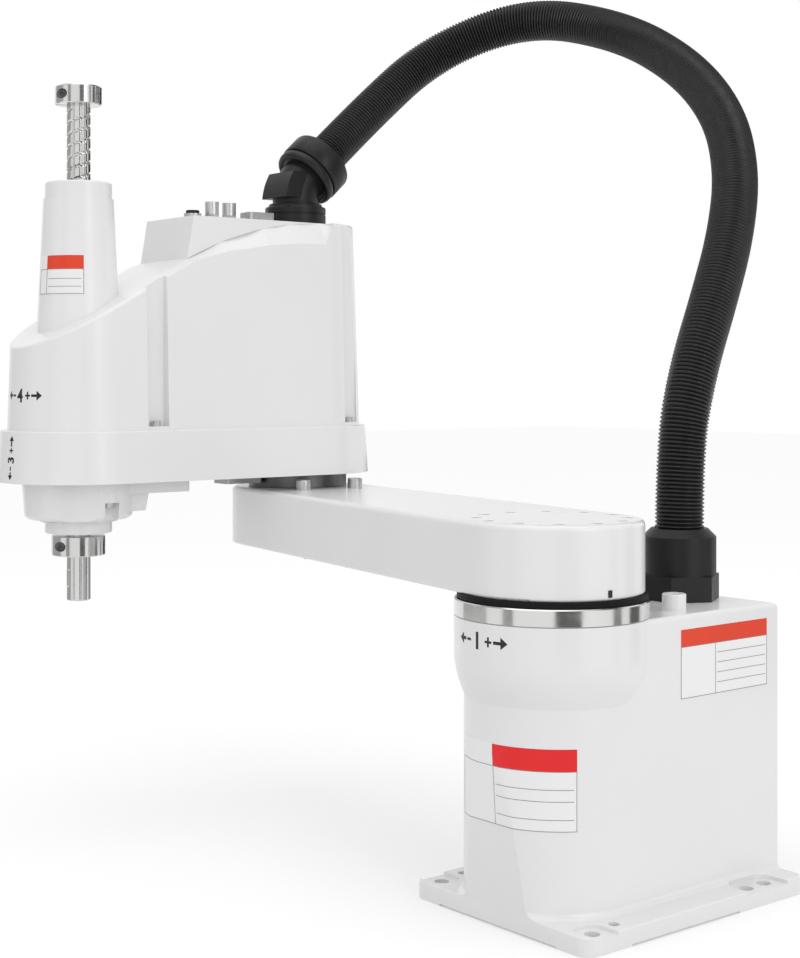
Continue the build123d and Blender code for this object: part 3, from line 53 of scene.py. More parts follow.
# Sizes and places repeated from part.py, in metres
ARM_1_LENGTH = 0.410
ARM_2_LENGTH = 0.225
ARM_1_ANGLE = math.radians(-100.0)
ARM_2_ANGLE = math.radians(-1.5)
COVER_TOP = 0.520
HOSE_RADIUS = 0.0187
SHAFT_RADIUS = 0.010
SHAFT_BORE = 0.007
SHAFT_BOTTOM = 0.193
SHAFT_TOP = 0.627
ELBOW_OFFSET = 0.0025
ELBOW_CENTRE = COVER_TOP + 0.0355
ELBOW_SLOPE = math.radians(137.0)
SECOND_JOINT = Vector((ARM_1_LENGTH * math.cos(ARM_1_ANGLE), ARM_1_LENGTH * math.sin(ARM_1_ANGLE), 0.0))


def arm_2(x, y, z):
    """Point of arm 2's own frame, whose X axis runs from the second joint to the tool shaft."""
    c, s = math.cos(ARM_2_ANGLE), math.sin(ARM_2_ANGLE)
    return Vector((SECOND_JOINT.x + x * c - y * s, SECOND_JOINT.y + x * s + y * c, z))


SHAFT_AXIS = arm_2(ARM_2_LENGTH, 0.0, 0.0)


# Camera, in metres and in the photograph's pixels

IMAGE_WIDTH, IMAGE_HEIGHT = 800.0, 958.0
FOCAL_PIXELS = 1700.0
CENTRE_X, HORIZON_Y = 381.1, 373.6
CAMERA_PLACE = (0.8613, 0.8661, 0.384)
CAMERA_DIRECTION = (-0.6307, -0.776, 0.0)
SENSOR_WIDTH = 36.0


def make_camera():
    """The photograph's camera: level, with the frame shifted down and to the right."""
    data = bpy.data.cameras.new("camera")
    camera = bpy.data.objects.new("camera", data)
    bpy.context.scene.collection.objects.link(camera)
    camera.location = CAMERA_PLACE
    camera.rotation_mode = "QUATERNION"
    camera.rotation_quaternion = Vector(CAMERA_DIRECTION).to_track_quat("-Z", "Y")
    data.sensor_fit = "AUTO"
    data.sensor_width = SENSOR_WIDTH
    data.lens = FOCAL_PIXELS * SENSOR_WIDTH / IMAGE_HEIGHT
    data.shift_x = (IMAGE_WIDTH / 2 - CENTRE_X) / IMAGE_HEIGHT
    data.shift_y = (HORIZON_Y - IMAGE_HEIGHT / 2) / IMAGE_HEIGHT
    data.clip_start = 0.05
    data.clip_end = 50.0
    bpy.context.scene.camera = camera


make_camera()


# Materials

NOISE_DETAIL = 3.0
# the part of the noise's own range that is spread over a material's range
NOISE_LOW, NOISE_HIGH = 0.3, 0.7
COAT_ROUGHNESS = 0.16
# squeezes the grain along Z, as turning marks round an upright part
TURNED = (1.0, 1.0, 60.0)


def linked_noise(tree, scale, stretch=(1.0, 1.0, 1.0), low=0.0, high=1.0):
    """Noise in the object's own metres, spread over a range."""
    place = tree.nodes.new("ShaderNodeTexCoord")
    mapping = tree.nodes.new("ShaderNodeMapping")
    mapping.inputs["Scale"].default_value = stretch
    texture = tree.nodes.new("ShaderNodeTexNoise")
    texture.inputs["Scale"].default_value = scale
    texture.inputs["Detail"].default_value = NOISE_DETAIL
    spread = tree.nodes.new("ShaderNodeMapRange")
    spread.inputs["From Min"].default_value = NOISE_LOW
    spread.inputs["From Max"].default_value = NOISE_HIGH
    spread.inputs["To Min"].default_value = low
    spread.inputs["To Max"].default_value = high
    tree.links.new(place.outputs["Object"], mapping.inputs["Vector"])
    tree.links.new(mapping.outputs["Vector"], texture.inputs["Vector"])
    tree.links.new(texture.outputs["Fac"], spread.inputs["Value"])
    return spread.outputs["Result"]


def finish(name, colour, roughness, metallic=0.0, tint=0.02, tint_scale=12.0, wander=0.05,
           wander_scale=60.0, grain=500.0, grain_depth=0.00002, stretch=(1.0, 1.0, 1.0), specular=0.5,
           coat=0.0):
    """Surface with slightly uneven colour and gloss and a fine relief.

    Tint and wander are the shares by which the colour and the roughness stray, each with the scale of
    its noise. Grain is the scale of the relief, and its depth is in metres.
    """
    material = bpy.data.materials.new(name)
    material.use_nodes = True
    tree = material.node_tree
    shader = tree.nodes["Principled BSDF"]
    shader.inputs["Metallic"].default_value = metallic
    shader.inputs["Specular IOR Level"].default_value = specular
    shader.inputs["Coat Weight"].default_value = coat
    shader.inputs["Coat Roughness"].default_value = COAT_ROUGHNESS
    mix = tree.nodes.new("ShaderNodeMix")
    mix.data_type = "RGBA"
    mix.inputs["A"].default_value = (*[c * (1 - tint) for c in colour], 1.0)
    mix.inputs["B"].default_value = (*[min(1.0, c * (1 + tint)) for c in colour], 1.0)
    tree.links.new(linked_noise(tree, tint_scale), mix.inputs["Factor"])
    tree.links.new(mix.outputs["Result"], shader.inputs["Base Color"])
    gloss = linked_noise(tree, wander_scale, low=roughness - wander, high=roughness + wander)
    tree.links.new(gloss, shader.inputs["Roughness"])
    bump = tree.nodes.new("ShaderNodeBump")
    bump.inputs["Strength"].default_value = 1.0
    bump.inputs["Distance"].default_value = grain_depth
    tree.links.new(linked_noise(tree, grain, stretch=stretch), bump.inputs["Height"])
    tree.links.new(bump.outputs["Normal"], shader.inputs["Normal"])
    return material


def film(name, colour, roughness=0.38, tint=0.04, wander=0.04, grain_depth=0.000003):
    """Surface of a label or of ink."""
    return finish(name, colour, roughness, tint=tint, wander=wander, grain=1800.0, grain_depth=grain_depth)


finishes = {
    "white_paint": finish(
        "white_paint", (0.80, 0.80, 0.805), 0.36, tint=0.012, wander=0.03, grain=420.0,
        grain_depth=0.000006, coat=0.5),
    "white_plastic": finish(
        "white_plastic", (0.81, 0.81, 0.812), 0.38, tint=0.01, wander=0.03, grain=1500.0,
        grain_depth=0.000004, coat=0.4),
    "black_plastic": finish(
        "black_plastic", (0.009, 0.009, 0.0095), 0.40, tint=0.15, wander=0.06, grain=2200.0,
        specular=0.35),
    "black_hose": finish(
        "black_hose", (0.008, 0.008, 0.0085), 0.38, tint=0.25, tint_scale=90.0, wander=0.07,
        wander_scale=140.0, grain=1600.0),
    "black_rubber": finish(
        "black_rubber", (0.005, 0.005, 0.005), 0.62, tint=0.2, wander=0.06, grain=2600.0,
        specular=0.2),
    "black_paint": finish(
        "black_paint", (0.03, 0.03, 0.033), 0.40, tint=0.1, grain=600.0),
    "bright_steel": finish(
        "bright_steel", (0.66, 0.66, 0.65), 0.15, metallic=1.0, tint=0.04, wander=0.04, grain=60.0,
        grain_depth=0.000004, stretch=TURNED),
    "zinc_steel": finish(
        "zinc_steel", (0.60, 0.60, 0.59), 0.36, metallic=1.0, tint=0.10, tint_scale=260.0,
        wander=0.06, grain=900.0, grain_depth=0.00001),
    "dark_steel": finish(
        "dark_steel", (0.16, 0.16, 0.165), 0.41, metallic=1.0, tint=0.12, tint_scale=120.0,
        wander=0.08, grain=60.0, grain_depth=0.000006, stretch=TURNED),
    "grey_aluminium": finish(
        "grey_aluminium", (0.50, 0.50, 0.515), 0.40, metallic=1.0, tint=0.06, wander=0.06,
        grain=1100.0, grain_depth=0.00001),
}
label_white = film("label_white", (0.86, 0.86, 0.865), tint=0.01)
label_orange = film("label_orange", (0.77, 0.045, 0.008))
label_red = film("label_red", (0.80, 0.006, 0.008))
label_grey = film("label_grey", (0.22, 0.22, 0.23), 0.45, tint=0.05, wander=0.05)
ink_black = film("ink_black", (0.008, 0.008, 0.009), 0.45, tint=0.1, wander=0.05, grain_depth=0.000004)
nickel = finish("nickel", (0.72, 0.72, 0.71), 0.36, metallic=1.0, tint=0.05, grain=60.0,
                grain_depth=0.000004, stretch=TURNED)

for row in frame["record"]["subparts"]:
    materials = nodes[row["node"]].data.materials
    materials.clear()
    materials.append(finishes[row["material_slot"]])
nodes["top_air_fittings"].data.materials[0] = nickel


# Mesh tools


def mesh_object(name, mesh, material, smooth_angle=32.0):
    """Object made from a bmesh, smooth but for edges sharper than the angle."""
    bmesh.ops.recalc_face_normals(mesh, faces=mesh.faces)
    for edge in mesh.edges:
        edge.smooth = len(edge.link_faces) == 2 and edge.calc_face_angle(0.0) < math.radians(smooth_angle)
    for face in mesh.faces:
        face.smooth = True
    data = bpy.data.meshes.new(name)
    mesh.to_mesh(data)
    mesh.free()
    data.materials.append(material)
    made = bpy.data.objects.new(name, data)
    bpy.context.scene.collection.objects.link(made)
    return made


def dress(piece, body):
    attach(piece, body)
    return piece


def ring_of(mesh, place, across, other, radius, sides):
    """Circle of vertices round a place, from two directions across its axis."""
    ring = []
    for k in range(sides):
        turn = 2 * math.pi * k / sides
        ring.append(mesh.verts.new(place + (across * math.cos(turn) + other * math.sin(turn)) * radius))
    return ring


def skin(mesh, rings, closed=False):
    """Faces between rings of vertices: capped at both ends, or closed from the last ring to the first."""
    sides = len(rings[0])
    for first, second in zip(rings, rings[1:] + rings[:1] if closed else rings[1:]):
        for k in range(sides):
            n = (k + 1) % sides
            mesh.faces.new((first[k], first[n], second[n], second[k]))
    if not closed:
        mesh.faces.new(list(reversed(rings[0])))
        mesh.faces.new(rings[-1])


def lathe(name, profile, origin, axis, material, sides=96):
    """Solid turned from (distance along the axis, radius) points, with flat ends."""
    mesh = bmesh.new()
    across = axis.orthogonal().normalized()
    other = axis.cross(across)
    skin(mesh, [ring_of(mesh, origin + axis * distance, across, other, radius, sides)
                for distance, radius in profile])
    return mesh_object(name, mesh, material)


# Hose

HOSE_POINTS = [
    (-0.137, 0.0, 0.260),
    (-0.137, 0.0, 0.328),
    (-0.153, 0.0, 0.388),
    (-0.183, -0.004, 0.444),
    (-0.215, -0.014, 0.496),
    (-0.246, -0.033, 0.549),
    (-0.275, -0.070, 0.604),
    (-0.297, -0.132, 0.656),
    (-0.305, -0.216, 0.702),
    (-0.275, -0.308, 0.727),
    (-0.214, -0.379, 0.694),
    (-0.14912, -0.40173, 0.63052),
    (-0.09502, -0.40315, 0.58005),
]
# where the two stretches meet, over arm 1
HOSE_JOINT = (-0.290, -0.262, 0.7145)
RIB_PITCH = 0.003
RIB_DEPTH = 0.0016
# one rib, as share of the pitch and of the depth below the ridge
RIB_PROFILE = ((0.0, 1.0), (0.16, 0.72), (0.38, 0.10), (0.5, 0.0), (0.62, 0.10), (0.84, 0.72))
CURVE_STEPS = 48


def spline_line(points):
    """Points along a smooth NURBS spline with the given control points."""
    curve = bpy.data.curves.new("line", "CURVE")
    curve.dimensions = "3D"
    curve.resolution_u = CURVE_STEPS
    spline = curve.splines.new("NURBS")
    spline.points.add(len(points) - 1)
    for control, place in zip(spline.points, points):
        control.co = (*place, 1.0)
    spline.order_u = 3
    spline.use_endpoint_u = True
    carrier = bpy.data.objects.new("line", curve)
    bpy.context.scene.collection.objects.link(carrier)
    mesh = bpy.data.meshes.new_from_object(carrier)
    line = [vertex.co.copy() for vertex in mesh.vertices]
    bpy.data.objects.remove(carrier)
    return line


def line_length(line):
    return sum((b - a).length for a, b in zip(line, line[1:]))


def along(line, stations):
    """Places and directions at distances along a line."""
    found = []
    travelled = 0.0
    index = 0
    for station in stations:
        while index < len(line) - 2 and travelled + (line[index + 1] - line[index]).length < station:
            travelled += (line[index + 1] - line[index]).length
            index += 1
        run = line[index + 1] - line[index]
        found.append((line[index] + run.normalized() * (station - travelled), run.normalized()))
    return found


def tube(name, line, stations, radii, material, sides=40):
    """Closed tube of varying radius along a line."""
    mesh = bmesh.new()
    places = along(line, stations)
    across = places[0][1].orthogonal().normalized()
    rings = []
    for (place, direction), radius in zip(places, radii):
        across = (across - direction * across.dot(direction)).normalized()
        rings.append(ring_of(mesh, place, across, direction.cross(across), radius, sides))
    skin(mesh, rings)
    return mesh_object(name, mesh, material, smooth_angle=70.0)


def make_hose(name, node, points):
    """One stretch of the corrugated hose, laid as a fixed mesh along a spline through the given points."""
    line = spline_line(points)
    total = line_length(line)
    count = round(total / RIB_PITCH)
    pitch = total / count
    stations = []
    radii = []
    for rib in range(count):
        for share, depth in RIB_PROFILE:
            stations.append((rib + share) * pitch)
            radii.append(HOSE_RADIUS - RIB_DEPTH * depth)
    stations.append(total)
    radii.append(HOSE_RADIUS - RIB_DEPTH)
    hose = tube(name, line, stations, radii, finishes["black_hose"])
    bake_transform(hose)
    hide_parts(node)


make_hose("hose_lower_ribbed", "hose_lower", HOSE_POINTS[:9] + [HOSE_JOINT])
make_hose("hose_upper_ribbed", "hose_upper", [HOSE_JOINT] + HOSE_POINTS[9:])


# Tool shaft


def make_shaft():
    """Ball screw and spline shaft with its helical grooves, ball tracks and set-screw flat."""
    sides = 180
    step = 0.0008
    screw_bottom, screw_top = 0.262, 0.606
    lead, starts = 0.020, 2
    screw_half_width, screw_depth = 0.0013, 0.0011
    track_angles = [math.radians(centre + side * 21.0)
                    for centre in (54.8, 174.8, 294.8) for side in (1, -1)]
    track_half_width, track_depth = 0.0014, 0.0008
    flat_angle, flat_bottom, flat_top, flat_depth = math.radians(-8.0), 0.205, 0.219, 0.0010
    chamfer = 0.0008
    count = int((SHAFT_TOP - SHAFT_BOTTOM) / step) + 1
    levels = [SHAFT_BOTTOM + step * k for k in range(count)] + [SHAFT_TOP]

    def groove(off, half_width, depth):
        """Radius in a groove with a round bottom, at a distance from its middle."""
        if off >= half_width:
            return SHAFT_RADIUS
        return SHAFT_RADIUS - depth * math.sqrt(1 - (off / half_width) ** 2)

    def radius_at(turn, z):
        radius = SHAFT_RADIUS
        for angle in track_angles:
            off = abs((turn - angle + math.pi) % (2 * math.pi) - math.pi) * SHAFT_RADIUS
            radius = min(radius, groove(off, track_half_width, track_depth))
        if screw_bottom < z < screw_top:
            pitch = lead / starts
            off = abs((z - lead * turn / (2 * math.pi)) % pitch - pitch / 2)
            radius = min(radius, groove(off, screw_half_width, screw_depth))
        facing = math.cos(turn - flat_angle)
        if flat_bottom < z < flat_top and facing > 0.5:
            radius = min(radius, (SHAFT_RADIUS - flat_depth) / facing)
        return min(radius, SHAFT_RADIUS - chamfer + min(z - SHAFT_BOTTOM, SHAFT_TOP - z))

    mesh = bmesh.new()
    rings = []
    for z in levels:
        ring = []
        for k in range(sides):
            turn = 2 * math.pi * k / sides
            out = Vector((math.cos(turn + ARM_2_ANGLE), math.sin(turn + ARM_2_ANGLE), 0.0))
            ring.append(mesh.verts.new(SHAFT_AXIS + out * radius_at(turn, z) + Vector((0, 0, z))))
        rings.append(ring)
    for z in (SHAFT_TOP, SHAFT_BOTTOM):
        ring = []
        for k in range(sides):
            turn = 2 * math.pi * k / sides + ARM_2_ANGLE
            out = Vector((math.cos(turn), math.sin(turn), 0.0))
            ring.append(mesh.verts.new(SHAFT_AXIS + out * SHAFT_BORE + Vector((0, 0, z))))
        rings.append(ring)
    skin(mesh, rings, closed=True)
    shaft = mesh_object("shaft_grooved", mesh, finishes["bright_steel"], smooth_angle=24.0)
    dress(shaft, "shaft")
    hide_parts("ball_screw_spline")


make_shaft()


# Elbow

ELBOW_ORIGIN = arm_2(ELBOW_OFFSET, 0.0, ELBOW_CENTRE)
ELBOW_AXIS = (arm_2(math.cos(ELBOW_SLOPE), 0.0, math.sin(ELBOW_SLOPE)) - arm_2(0.0, 0.0, 0.0)).normalized()
UP = Vector((0.0, 0.0, 1.0))
# distance along the slanted axis and radius, in metres
ELBOW_NUT_PROFILE = (
    (0.0113, 0.0005), (0.0113, 0.0210), (0.0132, 0.0215), (0.0132, 0.0245), (0.0121, 0.0252),
    (0.0115, 0.0264), (0.0117, 0.0280), (0.0127, 0.0292), (0.0145, 0.0298), (0.0182, 0.0298),
    (0.0190, 0.0294), (0.0194, 0.0286), (0.0203, 0.0286), (0.0206, 0.0301), (0.0213, 0.0305),
    (0.0388, 0.0305), (0.0402, 0.0301), (0.0420, 0.0280), (0.0420, 0.0222), (0.0414, 0.0208),
    (0.0362, 0.0196), (0.0360, 0.0005),
)
# height above the cover and radius, in metres
ELBOW_BASE_PROFILE = (
    (-0.0030, 0.0180), (0.0, 0.0180), (0.0, 0.0276), (0.0005, 0.0280), (0.0098, 0.0280),
    (0.0101, 0.0273), (0.0108, 0.0273), (0.0111, 0.0280), (0.0160, 0.0280), (0.0170, 0.0272),
    (0.0170, 0.0247), (0.0194, 0.0245), (0.0200, 0.0238), (0.0200, 0.0005),
)

for node, name, profile, origin, axis in (
    ("elbow_nut", "elbow_nut_grooved", ELBOW_NUT_PROFILE, ELBOW_ORIGIN, ELBOW_AXIS),
    ("elbow_base", "elbow_base_stepped", ELBOW_BASE_PROFILE, arm_2(ELBOW_OFFSET, 0.0, COVER_TOP), UP),
):
    turned = lathe(name, profile, origin, axis, finishes["black_plastic"])
    dress(turned, "arm_2")
    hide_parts(node)


# Labels and marks

LABEL_THICKNESS = 0.0002
INK_THICKNESS = 0.0001
POINTER_THICKNESS = 0.0006
# how far the back of a film lies inside what carries it
FILM_SINK = 0.00005
# how far outside a round surface its rays start, and the plane beside the base where its rays start
RAY_GAP = 0.05
SIDE_RAY_Y = 0.1
# rules of a label, and how far they stay from its border
RULE_WIDTH = 0.0004
RULE_MARGIN = 0.002
# how much bolder than the built-in font a digit is, as share of its size
DIGIT_WEIGHT = 0.03


def surface_of(node):
    """A node's faces, for rays."""
    data = nodes[node].data
    return BVHTree.FromPolygons([v.co for v in data.vertices], [tuple(p.vertices) for p in data.polygons])


def round_ray(axis, radius, turn):
    """Rays towards an upright axis, for places measured along a circle of the given radius."""
    def ray(u, v):
        angle = u / radius + turn
        out = Vector((math.cos(angle), math.sin(angle), 0.0))
        return Vector((axis.x, axis.y, v)) + out * (radius + RAY_GAP), -out
    return ray


def side_ray(u, v):
    """Rays towards the base's side wall: u runs rearwards, as the camera sees it from the left."""
    return Vector((-u, SIDE_RAY_Y, v)), Vector((0.0, -1.0, 0.0))


def decal(name, outlines, ray, node, material, body, lift=0.0, thickness=LABEL_THICKNESS,
          step=0.002):
    """Thin film with the given outlines, laid on a node's surface along rays."""
    carrier = surface_of(node)
    mesh = bmesh.new()
    for outline in outlines:
        mesh.faces.new([mesh.verts.new((u, v, 0.0)) for u, v in outline])
    for axis in (0, 1):
        values = [vertex.co[axis] for vertex in mesh.verts]
        low, high = min(values), max(values)
        count = int((high - low) / step)
        for k in range(1, count + 1):
            cut = Vector((0.0, 0.0, 0.0))
            normal = Vector((0.0, 0.0, 0.0))
            cut[axis] = low + (high - low) * k / (count + 1)
            normal[axis] = 1.0
            everything = mesh.verts[:] + mesh.edges[:] + mesh.faces[:]
            bmesh.ops.bisect_plane(mesh, geom=everything, plane_co=cut, plane_no=normal)
    made = bmesh.ops.extrude_face_region(mesh, geom=mesh.faces[:])
    front = {item for item in made["geom"] if isinstance(item, bmesh.types.BMVert)}
    for vertex in mesh.verts:
        origin, direction = ray(vertex.co.x, vertex.co.y)
        hit = carrier.ray_cast(origin, direction)[0]
        vertex.co = hit - direction * (lift + (thickness if vertex in front else -FILM_SINK))
    return dress(mesh_object(name, mesh, material), body)


def oblong(left, bottom, right, top):
    """Outline of a rectangle."""
    return [(left, bottom), (right, bottom), (right, top), (left, top)]


def border(left, bottom, right, top, width):
    """Outlines of the four sides of a frame."""
    return [
        oblong(left, bottom, right, bottom + width),
        oblong(left, top - width, right, top),
        oblong(left, bottom + width, left + width, top - width),
        oblong(right - width, bottom + width, right, top - width),
    ]


def make_label(name, ray, node, body, box, split, band_left, band_height, colour, rules):
    """Blank label: a white film with a coloured band, a border and empty ruled lines."""
    left, bottom, right, top = box
    band_bottom = top - band_height
    decal(name, [oblong(*box)], ray, node, label_white, body)
    decal(name + "_band", [oblong(band_left, band_bottom, right, top)], ray, node, colour, body,
          lift=LABEL_THICKNESS, thickness=INK_THICKNESS)
    lines = border(left, bottom, right, band_bottom, RULE_WIDTH)
    lines.append(oblong(split, bottom + RULE_WIDTH, split + RULE_WIDTH, band_bottom - RULE_WIDTH))
    for height in rules:
        lines.append(oblong(split + RULE_MARGIN, height, right - RULE_MARGIN, height + RULE_WIDTH))
    decal(name + "_lines", lines, ray, node, label_grey, body, lift=LABEL_THICKNESS,
          thickness=INK_THICKNESS)


def digit_outlines(text, size, centre_u, centre_v, upright=True):
    """Faces of one plain digit about a centre, turned a quarter where it isn't upright."""
    curve = bpy.data.curves.new("digit", "FONT")
    curve.body = text
    curve.size = size
    curve.offset = DIGIT_WEIGHT * size
    carrier = bpy.data.objects.new("digit", curve)
    bpy.context.scene.collection.objects.link(carrier)
    mesh = bpy.data.meshes.new_from_object(carrier)
    bpy.data.objects.remove(carrier)
    points = [vertex.co.copy() for vertex in mesh.vertices]
    middle_x = (min(p.x for p in points) + max(p.x for p in points)) / 2
    middle_y = (min(p.y for p in points) + max(p.y for p in points)) / 2
    outlines = []
    for face in mesh.polygons:
        outline = []
        for index in face.vertices:
            x, y = points[index].x - middle_x, points[index].y - middle_y
            outline.append((centre_u + x, centre_v + y) if upright else (centre_u - y, centre_v + x))
        outlines.append(outline)
    return outlines


# One axis mark along its length, in millimetres, drawn for a 48 mm mark: arrows, minus and plus
MARK_LENGTH = 48.0
MARK_SHAPES = (
    ((-24.0, 0.0), (-19.0, -4.0), (-19.0, 4.0)),
    ((-19.0, -1.1), (-15.5, -1.1), (-15.5, 1.1), (-19.0, 1.1)),
    ((-14.0, -0.9), (-9.5, -0.9), (-9.5, 0.9), (-14.0, 0.9)),
    ((5.0, -0.8), (11.0, -0.8), (11.0, 0.8), (5.0, 0.8)),
    ((7.2, 0.8), (8.8, 0.8), (8.8, 3.4), (7.2, 3.4)),
    ((7.2, -3.4), (8.8, -3.4), (8.8, -0.8), (7.2, -0.8)),
    ((12.5, -1.1), (18.5, -1.1), (18.5, 1.1), (12.5, 1.1)),
    ((24.0, 0.0), (18.5, 4.2), (18.5, -4.2)),
)
MARK_DIGIT_AT = -2.5
MARK_DIGIT_SIZE = 16.0


def axis_mark(name, ray, node, body, digit, centre, length, upright=True):
    """Arrows both ways with minus, the axis number and plus between them, as thin ink."""
    scale = length / MARK_LENGTH
    placed = []
    for shape in MARK_SHAPES:
        if upright:
            placed.append([(centre[0] + u * scale, centre[1] + v * scale) for u, v in shape])
        else:
            placed.append([(centre[0] - v * scale, centre[1] + u * scale) for u, v in shape])
    along_mark = MARK_DIGIT_AT * scale
    middle = (centre[0] + along_mark, centre[1]) if upright else (centre[0], centre[1] + along_mark)
    placed += digit_outlines(digit, MARK_DIGIT_SIZE * scale, *middle, upright)
    decal(name, placed, ray, node, ink_black, body, thickness=INK_THICKNESS, step=0.003)


BASE_AXIS = Vector((0.0, 0.0, 0.0))
# radii of the surfaces that carry labels and marks
COLUMN_RADIUS = 0.063
BULGE_RADIUS = 0.070
TUBE_RADIUS = 0.031
NOSE_RADIUS = 0.0585
FLANGE_RADIUS = 0.066
ARM_1_END_RADIUS = 0.066


def arc(radius, degrees):
    """Distance along a circle."""
    return radius * math.radians(degrees)


make_label("side_label", side_ray, "base_casting", "base", box=(0.066, 0.1525, 0.162, 0.2017),
           split=0.1032, band_left=0.066, band_height=0.0123, colour=label_orange,
           rules=(0.1603, 0.1675, 0.1747, 0.1819))
column_split = arc(COLUMN_RADIUS, 4.6)
make_label("column_label", round_ray(BASE_AXIS, COLUMN_RADIUS, 0.0), "base_casting", "base",
           box=(arc(COLUMN_RADIUS, -31.5), 0.073, arc(COLUMN_RADIUS, 60.8), 0.129),
           split=column_split, band_left=column_split, band_height=0.0151, colour=label_red,
           rules=(0.0808, 0.0932, 0.1012))
tube_split = arc(TUBE_RADIUS, 10.0)
make_label("tube_label", round_ray(SHAFT_AXIS, TUBE_RADIUS, ARM_2_ANGLE), "shaft_tube", "arm_2",
           box=(arc(TUBE_RADIUS, -9.0), 0.450, arc(TUBE_RADIUS, 70.0), 0.482),
           split=tube_split, band_left=tube_split, band_height=0.0112, colour=label_orange,
           rules=(0.4560, 0.4625))
axis_mark("j1_mark", round_ray(BASE_AXIS, BULGE_RADIUS, 0.0), "base_casting", "base", "1",
          centre=(arc(BULGE_RADIUS, 0.0), 0.1998), length=arc(BULGE_RADIUS, 39.5))
axis_mark("j4_mark", round_ray(SHAFT_AXIS, NOSE_RADIUS, ARM_2_ANGLE), "arm_2_cover", "arm_2", "4",
          centre=(arc(NOSE_RADIUS, 10.0), 0.366), length=arc(NOSE_RADIUS, 44.0))
axis_mark("j3_mark", round_ray(SHAFT_AXIS, FLANGE_RADIUS, ARM_2_ANGLE), "arm_2_frame", "arm_2", "3",
          centre=(arc(FLANGE_RADIUS, 7.0), 0.315), length=0.036, upright=False)

# small black pointer on the lower edge of arm 1, over the steel ring
POINTER_WIDTH = 0.0032
POINTER_BOTTOM, POINTER_TOP = 0.2312, 0.2362
pointer_left = arc(ARM_1_END_RADIUS, 80.5)
decal("zero_pointer", [oblong(pointer_left, POINTER_BOTTOM, pointer_left + POINTER_WIDTH, POINTER_TOP)],
      round_ray(BASE_AXIS, ARM_1_END_RADIUS, 0.0), "arm_1_casting", ink_black, "arm_1",
      thickness=POINTER_THICKNESS)


# Stage and lights

STAGE_CENTRE = Vector((0.07, -0.2, 0.0))
LIGHT_TARGET = (0.0, -0.2, 0.3)
FLOOR_SIZE = 8.0
FLOOR_GREY = 0.70
# light that the floor shows to the camera and to metal, on top of what falls on it
FLOOR_GLOW = 0.30
WORLD_STRENGTH = 0.95
CARD_DISTANCE = 1.15
CARD_STEPS = 8
CARD_BOTTOM, CARD_TOP = 0.001, 2.4
GAP_BOTTOM, GAP_TOP = 0.28, 0.62
# degrees round the stage, heights in metres and grey; the gap in the last two keeps flat tops white
CARDS = (
    (-80, -28, CARD_BOTTOM, CARD_TOP, 0.45),
    (-3, 11, CARD_BOTTOM, CARD_TOP, 0.35),
    (58, 84, CARD_BOTTOM, CARD_TOP, 0.12),
    (116, 126, CARD_BOTTOM, CARD_TOP, 0.3),
    (137, 155, CARD_BOTTOM, CARD_TOP, 0.12),
    (173, 186, CARD_BOTTOM, GAP_BOTTOM, 0.3),
    (173, 186, GAP_TOP, CARD_TOP, 0.3),
    (197, 228, CARD_BOTTOM, GAP_BOTTOM, 0.05),
    (197, 228, GAP_TOP, CARD_TOP, 0.05),
)


def white_to_camera(tree, strength):
    """Factor that is the given strength for rays that show a background, and 0 for the others."""
    rays = tree.nodes.new("ShaderNodeLightPath")
    total = rays.outputs["Is Camera Ray"]
    for name in ("Is Glossy Ray", "Is Transmission Ray"):
        larger = tree.nodes.new("ShaderNodeMath")
        larger.operation = "MAXIMUM"
        tree.links.new(total, larger.inputs[0])
        tree.links.new(rays.outputs[name], larger.inputs[1])
        total = larger.outputs["Value"]
    scaled = tree.nodes.new("ShaderNodeMath")
    scaled.operation = "MULTIPLY"
    scaled.inputs[1].default_value = strength
    tree.links.new(total, scaled.inputs[0])
    return scaled.outputs["Value"]


def make_floor():
    """Pale floor that shows white to the camera and keeps the object's soft shadow."""
    mesh = bmesh.new()
    bmesh.ops.create_grid(mesh, x_segments=2, y_segments=2, size=FLOOR_SIZE)
    material = bpy.data.materials.new("floor")
    material.use_nodes = True
    tree = material.node_tree
    tree.nodes.remove(tree.nodes["Principled BSDF"])
    diffuse = tree.nodes.new("ShaderNodeBsdfDiffuse")
    diffuse.inputs["Color"].default_value = (FLOOR_GREY, FLOOR_GREY, FLOOR_GREY, 1.0)
    glow = tree.nodes.new("ShaderNodeEmission")
    tree.links.new(white_to_camera(tree, FLOOR_GLOW), glow.inputs["Strength"])
    total = tree.nodes.new("ShaderNodeAddShader")
    tree.links.new(diffuse.outputs["BSDF"], total.inputs[0])
    tree.links.new(glow.outputs["Emission"], total.inputs[1])
    tree.links.new(total.outputs["Shader"], tree.nodes["Material Output"].inputs["Surface"])
    mesh_object("floor", mesh, material)


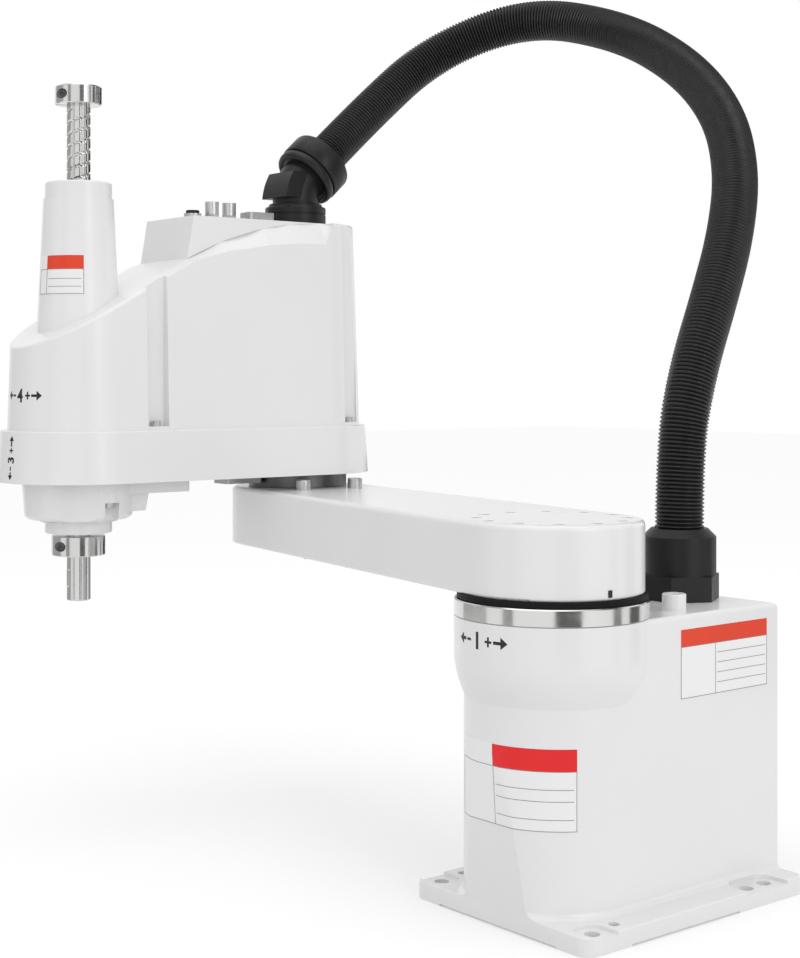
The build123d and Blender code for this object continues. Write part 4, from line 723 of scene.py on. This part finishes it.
def make_world():
    """Even white light, seen as plain white by the camera and by metal."""
    world = bpy.data.worlds.new("world")
    bpy.context.scene.world = world
    world.use_nodes = True
    tree = world.node_tree
    background = tree.nodes["Background"]
    background.inputs["Color"].default_value = (1, 1, 1, 1)
    larger = tree.nodes.new("ShaderNodeMath")
    larger.operation = "MAXIMUM"
    larger.inputs[1].default_value = WORLD_STRENGTH
    tree.links.new(white_to_camera(tree, 1.0), larger.inputs[0])
    tree.links.new(larger.outputs["Value"], background.inputs["Strength"])


def card(name, first, last, bottom, top, grey):
    """Grey studio card, upright and curved round the stage, that only reflections show."""
    material = bpy.data.materials.new(name)
    material.use_nodes = True
    tree = material.node_tree
    tree.nodes.remove(tree.nodes["Principled BSDF"])
    glow = tree.nodes.new("ShaderNodeEmission")
    glow.inputs["Color"].default_value = (grey, grey, grey, 1.0)
    tree.links.new(glow.outputs["Emission"], tree.nodes["Material Output"].inputs["Surface"])
    mesh = bmesh.new()
    pairs = []
    for k in range(CARD_STEPS + 1):
        angle = math.radians(first + (last - first) * k / CARD_STEPS)
        foot = STAGE_CENTRE + Vector((math.cos(angle), math.sin(angle), 0.0)) * CARD_DISTANCE
        pairs.append([mesh.verts.new(foot + Vector((0, 0, z))) for z in (bottom, top)])
    for (a, b), (c, d) in zip(pairs, pairs[1:]):
        mesh.faces.new((a, c, d, b))
    made = mesh_object(name, mesh, material)
    made.visible_camera = False
    made.visible_diffuse = False
    made.visible_transmission = False
    made.visible_volume_scatter = False
    made.visible_shadow = False


def area_light(name, place, size, power):
    """Square soft light, aimed at the object."""
    data = bpy.data.lights.new(name, "AREA")
    data.energy = power
    data.shape = "SQUARE"
    data.size = size
    light = bpy.data.objects.new(name, data)
    light.location = place
    light.rotation_mode = "QUATERNION"
    light.rotation_quaternion = (Vector(LIGHT_TARGET) - Vector(place)).to_track_quat("-Z", "Y")
    bpy.context.scene.collection.objects.link(light)


make_floor()
make_world()
for index, values in enumerate(CARDS, 1):
    card("card_%d" % index, *values)
area_light("top", (0.1, -0.2, 2.4), size=1.6, power=6.0)
area_light("key", (0.2, 2.2, 1.0), size=1.2, power=8.0)
bpy.context.scene.view_settings.view_transform = "Standard"
